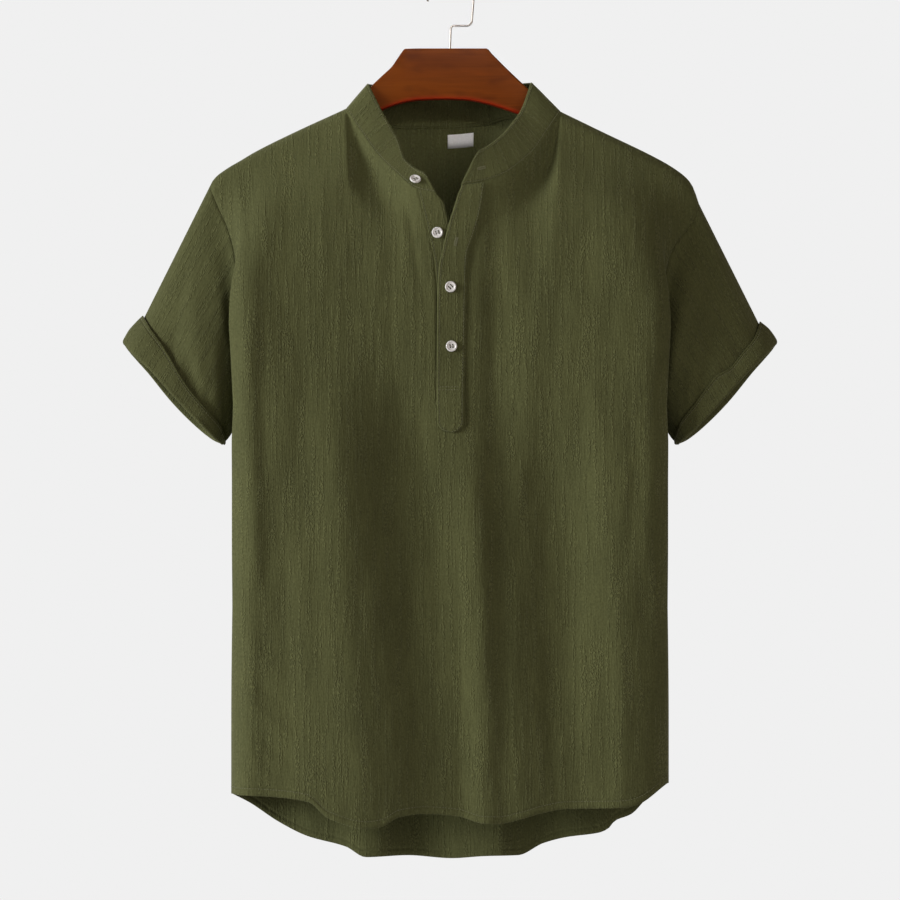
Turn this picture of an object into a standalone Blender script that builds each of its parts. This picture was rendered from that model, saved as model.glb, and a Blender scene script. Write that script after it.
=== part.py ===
"""A short-sleeved half-placket shirt with a band collar, hanging on a flat wooden hanger.

Lengths are in millimetres until a mesh is made. Three numbers place a point: x to the right as the
shirt is seen from the front, depth towards the front (negative behind), and drop below the rail
that the hook hangs on. The cloth is first laid out as it looks from the front, and true_place
then brings what is nearer the eye back to its real size.
"""

import bpy
import numpy as np

MM = 0.001

# How far the eye stands in front, and the drop that it is level with.
EYE_DISTANCE = 3000.0
EYE_DROP = 482.0

CLOTH = 1.5
BAND = 2.0
PLACKET = 1.8
LABEL = 1.0
SEAM_GAP = 0.3

# The body hangs between the armholes' lowest points and the hem.
UNDERARM_DROP = 436.0
SHOULDER_ROLL = 8.5

# Levels run from 0 to 1 over the shoulder's roll, to 2 at the underarm and to 3 at the hem.
FALL_LEVELS = (0.0, 0.34, 0.67, 1.0, 1.06, 1.14, 1.23, 1.33, 1.44, 1.55, 1.66, 1.77, 1.88, 2.0)
BODY_LEVELS = (2.04, 2.09, 2.15, 2.22, 2.30, 2.38, 2.46, 2.54, 2.62, 2.70, 2.78, 2.86, 2.93, 3.0)

# Where across a half panel the named columns of the tables below lie, from its middle to its side.
ACROSS = {"centre": 0.0, "middle": 0.43, "outer": 0.75, "roll": 0.9, "side": 1.0}
NECK_ACROSS = ACROSS["middle"]
SHOULDER_CELLS = 9
FRONT_NECK_SHARES = (0.0, 0.06, 0.12, 0.25, 0.4, 0.55, 0.7, 0.85, 1.0)
BACK_NECK_SHARES = (
    0.0, 0.04, 0.1, 0.18, 0.27, 0.35, 0.43, 0.51, 0.59, 0.67, 0.75, 0.83, 0.91, 0.96, 1.0,
)
BAND_END_SHARES = (1.1, 1.2)
SLIT_CELLS = 3

# Each armhole's seam from the shoulder point down to the underarm: drop, x.
ARMHOLE = {
    -1: (
        (219, 240.5), (238, 232.5), (262, 222), (285, 216), (322, 212), (362, 207), (436, 202),
    ),
    1: (
        (236, 249), (249, 246), (260, 238), (274, 227), (292, 219), (322, 212.5), (362, 207), (436, 202),
    ),
}
# Each shoulder seam, from the neck to the shoulder point: x, drop.
SHOULDER = {
    -1: (
        (104, 140.7), (158, 165.5), (195, 184), (208.4, 192), (223.6, 201), (236.1, 211), (240.5, 219),
    ),
    1: (
        (110.7, 143.7), (149.7, 162.6), (210, 192), (225, 201), (237.5, 211), (243, 219), (249, 236),
    ),
}

# Depth of the panels from the shoulder and neck seams down to the underarm, by the share of that fall.
FALL_COLUMNS = ("share", "centre", "middle", "outer", "roll", "side")
FRONT_FALL = (
    (0.00, 55, 8.5, 8.5, 8.5, 8.5),
    (0.10, 56, 20, 22, 18, 12),
    (0.25, 58, 42, 44, 36, 20),
    (0.50, 60, 56, 59, 46, 29),
    (0.75, 61, 61, 64, 47, 25),
    (0.90, 61, 62.5, 65, 47, 16),
    (1.00, 61, 63, 65, 47, 0),
)
BACK_FALL = (
    (0.00, 42, 8.5, 8.5, 8.5, 8.5),
    (0.10, 44, 14, 12, 11, 10.5),
    (0.25, 47, 27, 22, 18, 16),
    (0.50, 52, 42, 37, 31, 20),
    (0.75, 56, 52, 46, 36, 15),
    (0.90, 57, 54, 48, 37, 9),
    (1.00, 57, 55, 49, 36, 0),
)

# The body below the underarm: depth at each column, and how far out the roll and the side seam lie.
BODY_COLUMNS = ("drop", "centre", "middle", "outer", "roll", "side", "roll_x", "side_x")
FRONT_BODY = (
    (436, 61, 63, 65, 47, 0, 217, 202),
    (452, 61, 63, 65.3, 47, 0, 217.5, 196),
    (475, 61, 63, 65.5, 46, 0, 218.4, 195),
    (515, 61, 63, 65, 44, 0, 218.2, 202),
    (570, 60, 62, 63, 41, 0, 218.2, 212),
    (640, 59, 60, 59, 37, 0, 217.7, 217.7),
    (760, 56, 57, 54, 32, 0, 217, 218.8),
    (900, 53, 53, 49, 28, 0, 217, 218.8),
)
BACK_BODY = (
    (436, 57, 55, 49, 36, 0, 216, 202),
    (452, 57, 55, 50, 36, 0, 216.5, 196),
    (475, 57, 55, 50, 35, 0, 217.4, 195),
    (515, 57, 55, 50, 34, 0, 217.2, 202),
    (570, 57, 55, 49, 32, 0, 217.2, 212),
    (640, 56, 54, 48, 30, 0, 217.2, 217.7),
    (760, 54, 52, 45, 26, 0, 217, 218.8),
    (900, 52, 50, 42, 24, 0, 217, 218.8),
)
MIDDLE_OF_ROLL = 0.455
OUTER_OF_ROLL = 0.89

# The slit that the plackets fill, from the neck down to its square end at the underarm: drop, x.
SLIT = {
    -1: ((221.5, -32), (255, -24.1), (274.5, -19.6), (297, -15.2), (332, -13), (436, -13)),
    1: (
        (214, 31), (228, 29.3), (243, 26.7), (261, 22), (275, 17), (290, 13.2),
        (327, 12.1), (362, 11.5), (436, 10),
    ),
}

# Hem lines, from the left to the right as seen from the front: x, drop.
FRONT_HEM = (
    (-218, 825.5), (-212, 827), (-177, 829), (-142, 834), (-121, 851), (-83, 861),
    (-69, 859), (-50, 849), (-25, 846), (2, 847), (37, 856), (49, 856),
    (69, 852), (93, 845), (116, 841), (172, 840), (187, 837), (218, 815),
)
BACK_HEM = (
    (-218, 825.5), (-201, 834), (-171, 853.7), (-142, 868), (-104, 878.4), (-84, 889),
    (-42, 887), (2, 890), (34, 888), (68, 887), (93, 875), (116, 869),
    (149, 864.5), (158, 860.5), (165, 852.5), (181, 846), (198, 829), (218, 815),
)

# Folds hang from the drop where they start, lean from one x to another, and fall off on each side:
# start, x at the start, x half way, x at the end, spread to the left, spread to the right, height.
FRONT_FOLDS = (
    (360, -136, -106, -92, 100, 62, 17),
    (340, -66, -14, 12, 46, 24, -7),
    (440, 18, 36, 48, 22, 30, 4.5),
    (400, 88, 118, 136, 56, 150, -15),
    (400, 160, 166, 170, 24, 26, 6),
    (180, -205, -206, -207, 14, 16, 5),
    (225, 45, 48, 55, 13, 18, -5),
)
BACK_FOLDS = (
    (300, -150, -158, -166, 30, 26, 8),
    (360, -92, -86, -78, 26, 24, -9),
    (330, -30, -22, -26, 24, 34, 11),
    (380, 34, 40, 47, 20, 22, -8),
    (320, 92, 100, 104, 30, 20, 10),
    (420, 150, 152, 158, 22, 22, -5),
)
FOLD_END = 900.0
FOLD_START_LENGTH = 130.0
FOLD_FREE = 0.86
# Below a seam at the top, the cloth stays flat over a first length and lets the folds in over a next.
FLAT_BELOW_SEAM = 20.0
FOLDS_GROW_OVER = 60.0

# The shares of the fall over which neck columns settle and the armhole's roll forms, and the share of
# the neck over which rows become even.
NECK_SETTLE = 0.3
ROLL_FORMED = 0.7
NECK_EVEN = 0.25
NECK_TAPER = 14.0
SEAM_MATCH = 1e-5

# The collar band: its seam round the neck, and its upper edge, by the share from shoulder seam to slit.
NECK_COLUMNS = ("share", "x", "depth", "drop", "top_x", "top_depth", "top_drop")
FRONT_NECK = {
    -1: (
        (0.00, -104, 0, 140.7, -82.5, 0, 115.5),
        (0.06, -103, 8.2, 142.6, -81.8, 8.6, 116.6),
        (0.12, -99.5, 11.5, 148.5, -78.6, 11.5, 122.8),
        (0.25, -90, 18, 163, -68, 15.5, 143.5),
        (0.50, -71.5, 32, 188.3, -52, 25, 171.4),
        (0.75, -54.6, 44, 204, -45, 36, 190.7),
        (1.00, -32, 55, 221.5, -30, 47, 202.5),
        (1.20, -14.2, 57, 224.5, -25.5, 50, 204),
    ),
    1: (
        (0.00, 110.7, 0, 143.7, 81.5, 0, 114.3),
        (0.06, 109.8, 8.2, 145.4, 81, 8.6, 115.6),
        (0.12, 106.2, 12.5, 151, 78.8, 12.5, 122),
        (0.25, 96.5, 22, 165, 71.5, 19, 141.5),
        (0.45, 85.4, 34, 181.5, 63, 31, 154),
        (0.65, 70.5, 44, 195.3, 53.3, 41, 165.5),
        (0.85, 51, 52, 208, 40.7, 49, 175.8),
        (1.00, 31, 56, 214, 32, 53, 181.2),
        (1.20, 11.5, 59, 216.2, 27.5, 56, 183.8),
    ),
}
BACK_NECK = (
    (0.00, 110.7, 0, 143.7, 81.5, 0, 114.3),
    (0.04, 109.5, -8.3, 144.8, 80.6, -8.6, 114.6),
    (0.10, 97, -17, 147.5, 73, -15, 115.5),
    (0.22, 60, -31, 151, 47, -26, 118),
    (0.35, 34, -37, 157.5, 28, -32, 125),
    (0.53, -7, -40, 161, -6, -35, 128.5),
    (0.72, -48, -37, 161, -39, -32, 128),
    (0.87, -82, -25, 152, -64, -22, 120),
    (0.92, -92, -17, 147.5, -73, -15, 117.5),
    (0.96, -102.8, -8.3, 142, -81.6, -8.6, 116),
    (1.00, -104, 0, 140.7, -82.5, 0, 115.5),
)
BAND_ROWS = 3

# The sleeve's open end, from the fold at its top round to the fold at its lowest point. Near the
# underarm the sleeve starts a little way off the armhole, and swings out before it falls.
SLEEVE_END_COLUMNS = ("share", "x", "drop", "depth")
SLEEVE_END = (
    (0.00, 319, 376, 0),
    (0.10, 312, 385.5, 19),
    (0.25, 296.5, 402.2, 30),
    (0.45, 275.3, 427, 37),
    (0.65, 254, 449.8, 36),
    (0.80, 240, 463.8, 28),
    (0.92, 232, 471, 15),
    (1.00, 227.5, 473.5, 0),
)
SLEEVE_ROWS = 8
SLEEVE_FULLNESS = 6.0
FAR_SIDE_SHIFT = 5.0
UNDERARM_OUT = 4.0
UNDERARM_SAG = 12.5
UNDERARM_GAP = 1.5
UNDERARM_NEAR = 8

# The turned-up end: how far up the sleeve it reaches, and how far it stands off the sleeve.
CUFF_COLUMNS = ("share", "reach", "stand")
CUFF = {
    -1: (
        (0.00, 0.175, 6.5), (0.15, 0.165, 4.0), (0.30, 0.15, 1.8), (0.50, 0.13, 0.8),
        (0.70, 0.15, 0.6), (0.85, 0.20, 0.8), (1.00, 0.24, 0.6),
    ),
    1: (
        (0.00, 0.155, 6.5), (0.15, 0.115, 4.0), (0.32, 0.105, 1.8), (0.46, 0.17, 0.8),
        (0.65, 0.18, 0.6), (0.85, 0.22, 0.8), (1.00, 0.24, 0.6),
    ),
}
CUFF_ROWS = 3
CUFF_WALL = 2.0
CUFF_PAST_SLEEVE = 0.012

# The upper placket: its free edge, its tab, and how far it laps over the panel beside the slit.
PLACKET_LAP = 4.0
PLACKET_FREE_EDGE = (
    (216, 11.5), (241.5, 3.6), (259, -1.8), (281.6, -7.1),
    (297.7, -10.7), (310, -11.6), (332, -12.5), (436, -13.2),
)
TAB_DROP = 464.0
TAB_SHOULDER_DROP = 453.0
TAB_LEFT = -12.5
TAB_RIGHT = 14.0
TAB_STEPS = 5
TAB_LAST_TURN = 1.45
PLACKET_WIDE_CELLS = 3
PLACKET_BELOW_BAND = 1.0
UNDER_PLACKET_WIDTH = 22.5

# A button's half section from the middle of its back to the middle of its dished face: radius, height.
BUTTON_PROFILE = (
    (0.0, 0.0), (4.9, 0.0), (5.5, 0.7), (5.5, 1.6), (5.0, 2.4), (4.4, 2.4), (3.6, 1.7), (0.0, 1.7),
)
BUTTON_SIDES = 20
BUTTON_2 = (-12.6, 264.7)
BUTTONS_ON_PLACKET = ((0.6, 319.0), (1.5, 378.2))
BUTTON_1_SHARE = 0.955
BUTTON_1_HEIGHT = 0.37
BUTTON_1_LEAN = np.radians(24.0)
BUTTON_1_LEANS_TO = np.array((0.57, 0.0, 0.82))
PLACKET_LEVELS = np.linspace(0.0, 2.3, 120)

LABEL_SHARES = (0.395, 0.43, 0.47, 0.51)
LABEL_LEVELS = (0.7, 1.012, 1.043)

# The hanger's board: x, the drop of its upper and its lower edge, and how round its edges are.
HANGER = (
    (-219, 206, 212, 3.0),
    (-214, 199.2, 214, 6.0),
    (-205, 192.9, 211, 6.4),
    (-195, 186.8, 206, 6.4),
    (-175, 176.7, 196, 6.4),
    (-158, 168.2, 188, 6.4),
    (-130, 155.4, 175, 6.4),
    (-104, 144.8, 163, 6.4),
    (-92, 133.2, 155.5, 5.5),
    (-80, 119.8, 148.6, 3.5),
    (-68, 108.4, 142.3, 2.4),
    (-58, 99.0, 138.4, 2.0),
    (-53, 91.8, 136.8, 2.0),
    (-49, 86.0, 135.6, 2.0),
    (-45, 81.4, 134.5, 2.0),
    (-30, 81, 132.4, 2.0),
    (-6, 81, 131.6, 2.0),
    (15, 81, 132.3, 2.0),
    (36.5, 81, 136.0, 2.0),
    (42, 86.5, 137.5, 2.0),
    (58, 102.4, 142.7, 2.4),
    (77.5, 120.6, 149.8, 3.5),
    (92, 133.6, 156.5, 5.5),
    (110.7, 147.8, 166, 6.4),
    (135, 158.2, 178, 6.4),
    (160, 170.5, 190, 6.4),
    (190, 185.0, 205, 6.4),
    (208, 194.1, 214, 6.4),
    (216, 201.0, 217, 6.0),
    (221, 208, 214, 3.0),
)
HANGER_HALF = 6.5
HANGER_CORNER_STEPS = 3

HOOK_WIRE = 1.0
HOOK_RADIUS = 24.2
HOOK_ARC_DROP = HOOK_RADIUS - HOOK_WIRE
HOOK_SHANK_FOOT = 80.6
HOOK_STEP_X = 0.8
HOOK_STEP_DROP = 57.8
HOOK_LOWER_BEND = 3.6
HOOK_UPPER_BEND = 5.2
HOOK_RISE_X = 21.5
HOOK_TIP_TURN = 205.0
HOOK_ARC_STEPS = 24
HOOK_BEND_STEPS = 4

MATERIALS = {
    "cloth": ((0.075, 0.078, 0.026), 0.9, 0.0),
    "button": ((0.72, 0.69, 0.62), 0.3, 0.0),
    "label": ((0.56, 0.56, 0.53), 0.8, 0.0),
    "wood": ((0.17, 0.045, 0.008), 0.25, 0.0),
    "wire": ((0.62, 0.62, 0.62), 0.25, 1.0),
}


def start_scene():
    """Removes what the file opened with."""
    for thing in list(bpy.data.objects):
        bpy.data.objects.remove(thing, do_unlink=True)


def make_material(name):
    """A Principled material with the slot's colour, roughness and metallic value."""
    colour, roughness, metallic = MATERIALS[name]
    material = bpy.data.materials.new(name)
    material.use_nodes = True
    shader = material.node_tree.nodes["Principled BSDF"]
    shader.inputs["Base Color"].default_value = (*colour, 1.0)
    shader.inputs["Roughness"].default_value = roughness
    shader.inputs["Metallic"].default_value = metallic
    return material


def smooth_line(at, xs, ys):
    """Reads at the places in at a smooth curve through the points (xs, ys) that never swings past them."""
    xs = np.asarray(xs, float)
    ys = np.asarray(ys, float)
    at = np.clip(at, xs[0], xs[-1])
    steps = np.diff(xs)
    slopes = (np.diff(ys, axis=0).T / steps).T
    product = slopes[:-1] * slopes[1:]
    level = product <= 0
    inner = np.where(level, 0, 2 * product / np.where(level, 1, slopes[:-1] + slopes[1:]))
    tangents = np.concatenate([slopes[:1], inner, slopes[-1:]])
    cell = np.clip(np.searchsorted(xs, at, side="right") - 1, 0, len(steps) - 1)
    step = steps[cell]
    t = (at - xs[cell]) / step
    rise = (3 * t**2 - 2 * t**3) * (ys[cell + 1] - ys[cell])
    leave = t * (1 - t) ** 2 * step * tangents[cell]
    arrive = t**2 * (t - 1) * step * tangents[cell + 1]
    return ys[cell] + rise + leave + arrive


def read(table, columns, name, at):
    """A table's named column, read smoothly at the places in at along its first column."""
    column = columns.index(name)
    return smooth_line(at, [row[0] for row in table], [row[column] for row in table])


def ease(t):
    """Runs from 0 to 1 with a soft start and end."""
    t = np.clip(t, 0.0, 1.0)
    return t * t * (3 - 2 * t)


def true_place(x, depth, drop):
    """The true place in metres of what is seen from the front at x and drop."""
    nearness = 1 - depth / EYE_DISTANCE
    true_drop = EYE_DROP + (drop - EYE_DROP) * nearness
    return np.stack(np.broadcast_arrays(x * nearness, -depth, -true_drop), axis=-1) * MM


def fold_depth(folds, x, drop):
    """How far the hanging folds push the cloth out at x and drop."""
    total = np.zeros(np.broadcast(x, drop).shape)
    for start, x_start, x_mid, x_end, left, right, height in folds:
        along = np.clip((drop - start) / (FOLD_END - start), 0, 1)
        away = x - smooth_line(along, (0, 0.5, 1), (x_start, x_mid, x_end))
        spread = np.where(away < 0, left, right)
        total = total + height * np.exp(-((away / spread) ** 2)) * ease((drop - start) / FOLD_START_LENGTH)
    return total


def half_x(panel, across, side, drop):
    """x at a place across a half panel, on a level at or below the underarm."""
    roll = read(panel["body"], BODY_COLUMNS, "roll_x", drop)
    seam = read(panel["body"], BODY_COLUMNS, "side_x", drop)
    middle = abs(SLIT[side][-1][1]) if panel["slit"] else 0.0
    knots = np.stack(np.broadcast_arrays(middle, MIDDLE_OF_ROLL * roll, OUTER_OF_ROLL * roll, roll, seam))
    return side * smooth_line(across, list(ACROSS.values()), knots)


def body_column(panel, across, side, shares):
    """x, depth and drop of a column below the underarm, by the shares of its way down to the hem."""
    hem_drop = smooth_line(half_x(panel, across, side, FOLD_END), *zip(*panel["hem"]))
    drop = UNDERARM_DROP + (hem_drop - UNDERARM_DROP) * shares
    depths = np.stack([read(panel["body"], BODY_COLUMNS, name, drop) for name in ACROSS])
    return half_x(panel, across, side, drop), smooth_line(across, list(ACROSS.values()), depths), drop


def column_top(panel, across, side, share):
    """x, depth and drop where a column starts, on the shoulder seam or at the neck."""
    if across >= NECK_ACROSS:
        xs, drops = zip(*SHOULDER[side])
        x = xs[0] + (xs[-1] - xs[0]) * (across - NECK_ACROSS) / (1 - NECK_ACROSS)
        return side * x, 0.0, smooth_line(x, xs, drops)
    neck = panel["neck"][side]
    x, depth, drop = (read(neck, NECK_COLUMNS, name, share) for name in ("x", "depth", "drop"))
    return x, abs(depth), drop


def fall_column(panel, across, side, share, levels):
    """x, depth and drop of a column from its seam at the top down to the underarm's level."""
    top_x, top_depth, top_drop = column_top(panel, across, side, share)
    from_neck = ease((1 - across / NECK_ACROSS) / NECK_EVEN)
    rolled = SHOULDER_ROLL * (1 - np.cos(np.clip(levels, 0, 1) * np.pi / 2)) * (1 - from_neck)
    rolled = rolled + SHOULDER_ROLL * np.clip(levels, 0, 1) * from_neck
    below = (UNDERARM_DROP - top_drop - SHOULDER_ROLL) * np.clip(levels - 1, 0, 1)
    fallen = (rolled + below) / (UNDERARM_DROP - top_drop)

    seam_drops, seam_xs = zip(*ARMHOLE[side])
    seam_at = seam_drops[0] + (seam_drops[-1] - seam_drops[0]) * fallen
    low_x = half_x(panel, across, side, UNDERARM_DROP)
    rolled_in = ease(fallen / ROLL_FORMED)
    from_seam = (abs(top_x) - seam_xs[0]) * (1 - rolled_in) + (abs(low_x) - seam_xs[-1]) * rolled_in
    beside_seam = side * (smooth_line(seam_at, seam_drops, seam_xs) + from_seam)
    outward = ease((across - NECK_ACROSS) / (1 - NECK_ACROSS))
    x = (top_x + (low_x - top_x) * fallen) * (1 - outward) + beside_seam * outward
    if panel["slit"] and across < NECK_ACROSS:
        drops, xs = zip(*SLIT[side])
        straight = xs[0] + (xs[-1] - xs[0]) * fallen
        bent = smooth_line(drops[0] + (drops[-1] - drops[0]) * fallen, drops, xs) - straight
        x = x + bent * (1 - across / NECK_ACROSS) ** 2

    depths = np.stack([read(panel["fall"], FALL_COLUMNS, name, fallen) for name in ACROSS])
    hanging = smooth_line(across, list(ACROSS.values()), depths)
    over_shoulder = np.sin(np.clip(levels, 0, 1) * np.pi / 2)
    settled = over_shoulder * (1 - from_neck) + ease(fallen / NECK_SETTLE) * from_neck
    return x, top_depth + (hanging - top_depth) * settled, top_drop + rolled + below


def panel_column(panel, across, side, share, levels):
    """The column's x, depth and drop at the levels, with the hanging folds in it."""
    levels = np.asarray(levels, float)
    upper = fall_column(panel, across, side, share, levels[levels <= 2])
    lower = body_column(panel, across, side, levels[levels > 2] - 2)
    x, depth, drop = (np.concatenate(pair) for pair in zip(upper, lower))
    below_seam = drop - upper[2][0] if len(upper[2]) else drop
    loose = ease((below_seam - FLAT_BELOW_SEAM) / FOLDS_GROW_OVER)
    loose = loose * (1 - ease((across - FOLD_FREE) / (1 - FOLD_FREE)))
    return x, depth + fold_depth(panel["folds"], x, drop) * loose, drop


def panel_points(panel, column, levels):
    """The column's true places in metres."""
    x, depth, drop = panel_column(panel, *column, levels)
    return true_place(x, panel["facing"] * depth, drop)


def grid_faces(rows, columns, closed=False, skip=()):
    """Four-cornered faces over a grid of points, row by row."""
    faces = []
    for row in range(rows - 1):
        for column in range(columns if closed else columns - 1):
            if (row, column) in skip:
                continue
            after = (column + 1) % columns
            here, below = row * columns, (row + 1) * columns
            faces.append((here + column, below + column, below + after, here + after))
    return faces


def corner_normals(points, faces):
    """A unit normal at each point, from the faces round it."""
    normals = np.zeros_like(points)
    for face in faces:
        a, b, c, d = points[list(face)]
        normals[list(face)] += np.cross(c - a, d - b)
    return normals / np.maximum(np.linalg.norm(normals, axis=1), 1e-12)[:, None]


class Sheet:
    """One cut piece of cloth: its outer surface, which becomes a wall with open edges."""

    def __init__(self, name, points, faces, wall, material="cloth", flip=False):
        self.name = name
        self.faces = [face[::-1] for face in faces] if flip else faces
        self.points = points.reshape(-1, 3)
        self.wall = wall * MM
        self.material = material
        self.normals = corner_normals(self.points, self.faces)

    def moved_out(self, distance):
        """The same piece, moved out along its normals."""
        self.points = self.points + self.normals * distance * MM
        return self

    def seam_keys(self):
        return [tuple(key) for key in np.round(self.points / SEAM_MATCH).astype(int)]

    def edge_sides(self):
        """The open edges, each with the face that it bounds."""
        sides = {}
        for face in self.faces:
            for start, end in zip(face, face[1:] + face[:1]):
                if (end, start) in sides:
                    del sides[(end, start)]
                else:
                    sides[(start, end)] = face
        return sides

    def pulled_in(self, sides):
        """The points, with each open edge moved in by half the gap at a seam."""
        inward = np.zeros_like(self.points)
        for (start, end), face in sides.items():
            along = self.points[end] - self.points[start]
            to_middle = self.points[list(face)].mean(axis=0) - self.points[start]
            across = to_middle - along * (to_middle @ along) / (along @ along)
            across = across / np.linalg.norm(across)
            for corner in (start, end):
                known = inward[corner]
                inward[corner] = known + across * (1 - known @ across / max(known @ known, 1.0))
        return self.points + inward * SEAM_GAP / 2 * MM

    def cut_on_short_diagonals(self):
        """The faces as triangles, so that both sides of a twisted one bend alike."""
        triangles = []
        for a, b, c, d in self.faces:
            corners = self.points
            if np.linalg.norm(corners[a] - corners[c]) < np.linalg.norm(corners[b] - corners[d]):
                triangles += [(a, b, c), (a, c, d)]
            else:
                triangles += [(a, b, d), (b, c, d)]
        return triangles

    def build(self):
        """Makes the wall: the outer surface, the inner one and the rims along the open edges."""
        sides = self.edge_sides()
        outer = self.pulled_in(sides)
        inner = outer - self.normals * self.wall
        count = len(outer)
        faces = self.cut_on_short_diagonals()
        faces += [tuple(i + count for i in face[::-1]) for face in faces]
        for start, end in sides:
            if tuple(self.points[start]) < tuple(self.points[end]):
                faces += [(end, start, end + count), (start, start + count, end + count)]
            else:
                faces += [(end, start, start + count), (end, start + count, end + count)]
        used = sorted({i for face in faces for i in face})
        place = {old: new for new, old in enumerate(used)}
        points = np.concatenate([outer, inner])[used]
        add_object(self.name, points, [tuple(place[i] for i in face) for face in faces], self.material)


def add_object(name, points, faces, material):
    """A mesh object with its own material."""
    mesh = bpy.data.meshes.new(name)
    mesh.from_pydata([tuple(point) for point in points], [], faces)
    mesh.validate()
    mesh.materials.append(make_material(material))
    thing = bpy.data.objects.new(name, mesh)
    bpy.context.scene.collection.objects.link(thing)
    return thing


def share_seam_normals(sheets):
    """Gives pieces that meet at a seam one normal there, so that their rims lie face to face."""
    totals = {}
    for sheet in sheets:
        for key, normal in zip(sheet.seam_keys(), sheet.normals):
            totals[key] = totals.get(key, 0.0) + normal
    for sheet in sheets:
        for i, key in enumerate(sheet.seam_keys()):
            sheet.normals[i] = totals[key] / max(np.linalg.norm(totals[key]), 1e-12)


FRONT = {
    "facing": 1, "fall": FRONT_FALL, "body": FRONT_BODY, "folds": FRONT_FOLDS,
    "hem": FRONT_HEM, "neck": FRONT_NECK, "slit": True,
}
BACK = {
    "facing": -1, "fall": BACK_FALL, "body": BACK_BODY, "folds": BACK_FOLDS,
    "hem": BACK_HEM, "neck": {-1: BACK_NECK, 1: BACK_NECK}, "slit": False,
}
SHOULDER_ACROSS = np.linspace(1.0, NECK_ACROSS, SHOULDER_CELLS + 1)[:-1]
LEVELS = FALL_LEVELS + BODY_LEVELS


def front_columns(side):
    """The half panel's columns from its side to the slit: place across, side and share of the neck."""
    columns = [(across, side, 0.0) for across in SHOULDER_ACROSS]
    return columns + [(NECK_ACROSS * (1 - share), side, share) for share in FRONT_NECK_SHARES]


def back_neck_column(share):
    """The column that hangs from the back neck at a share of the way from the wearer's left."""
    return NECK_ACROSS * abs(1 - 2 * share), 1 if share < 0.5 else -1, share


def back_columns():
    """The back's columns from the wearer's left to the right."""
    left = [(across, 1, 0.0) for across in SHOULDER_ACROSS]
    right = [(across, -1, 0.0) for across in SHOULDER_ACROSS[::-1]]
    return left + [back_neck_column(share) for share in BACK_NECK_SHARES] + right


def make_front():
    """The front panel, with its slit left open above the underarm's level."""
    left, right = (
        [panel_points(FRONT, column, LEVELS) for column in front_columns(side)] for side in (-1, 1)
    )
    middle = [left[-1] + (right[-1] - left[-1]) * i / SLIT_CELLS for i in range(1, SLIT_CELLS)]
    points = np.stack(left + middle + right[::-1], axis=1)
    slit_start = len(left) - 1
    open_cells = {
        (row, slit_start + i) for row in range(len(FALL_LEVELS) - 1) for i in range(SLIT_CELLS)
    }
    faces = grid_faces(points.shape[0], points.shape[1], skip=open_cells)
    return Sheet("front", points, faces, CLOTH)


def make_back():
    points = np.stack([panel_points(BACK, column, LEVELS) for column in back_columns()], axis=1)
    return Sheet("back", points, grid_faces(points.shape[0], points.shape[1]), CLOTH)


def band_columns():
    """The collar band's columns from the wearer's right end round the neck to the left end."""
    left = [(FRONT_NECK[-1], share) for share in reversed(FRONT_NECK_SHARES + BAND_END_SHARES)]
    back = [(BACK_NECK, share) for share in BACK_NECK_SHARES[-2:0:-1]]
    right = [(FRONT_NECK[1], share) for share in FRONT_NECK_SHARES + BAND_END_SHARES]
    return left + back + right


def band_point(neck, share, height):
    """A point of the band's outer surface, by the share along its table and of its height."""
    seam = [read(neck, NECK_COLUMNS, name, share) for name in ("x", "depth", "drop")]
    edge = [read(neck, NECK_COLUMNS, name, share) for name in ("top_x", "top_depth", "top_drop")]
    x, depth, drop = (low + (high - low) * height for low, high in zip(seam, edge))
    return true_place(x, depth, drop)


def make_band():
    heights = np.linspace(0, 1, BAND_ROWS + 1)
    points = np.array([[band_point(*column, height) for column in band_columns()] for height in heights])
    return Sheet("collar_band", points, grid_faces(points.shape[0], points.shape[1]), BAND)


def sleeve_ring(side):
    """The armhole's points and the sleeve end's, from the shoulder down the front and up the back."""
    front = panel_points(FRONT, (1.0, side, 0.0), FALL_LEVELS)
    back = panel_points(BACK, (1.0, side, 0.0), FALL_LEVELS)
    seam = np.concatenate([front, back[-2:0:-1]])
    gone = np.concatenate([[0], np.cumsum(np.linalg.norm(np.diff(front, axis=0), axis=1))])
    share = gone / gone[-1]
    share = np.concatenate([share, share[-2:0:-1]])
    facing = np.array([1.0] * len(front) + [-1.0] * (len(back) - 2))
    x, drop, depth = (read(SLEEVE_END, SLEEVE_END_COLUMNS, name, share) for name in ("x", "drop", "depth"))
    far = np.where(facing < 0, FAR_SIDE_SHIFT * np.sin(np.pi * share), 0) * 0.5**0.5
    end = true_place(side * (x + far), facing * depth, drop + far)
    return seam, end, share, facing


def sleeve_places(side, along):
    """The sleeve's surface at the shares along in it, one for each point of the ring or one for all."""
    seam, end, share, facing = sleeve_ring(side)
    along = np.broadcast_to(along, share.shape)
    points = seam + (end - seam) * along[:, None]
    middle = np.sin(np.pi * np.clip(along, 0, 1))
    points[:, 1] -= SLEEVE_FULLNESS * middle**2 * np.sin(np.pi * share) * facing * MM
    out = UNDERARM_GAP * np.clip(1 - along, 0, 1) + UNDERARM_OUT * middle
    points[:, 0] += side * out * share**UNDERARM_NEAR * MM
    points[:, 2] -= UNDERARM_SAG * middle * share**UNDERARM_NEAR * MM
    return points


def make_sleeve(side, name):
    points = np.array([sleeve_places(side, along) for along in np.linspace(0, 1, SLEEVE_ROWS + 1)])
    faces = grid_faces(points.shape[0], points.shape[1], closed=True)
    return Sheet(name, points, faces, CLOTH, flip=side > 0)


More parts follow.
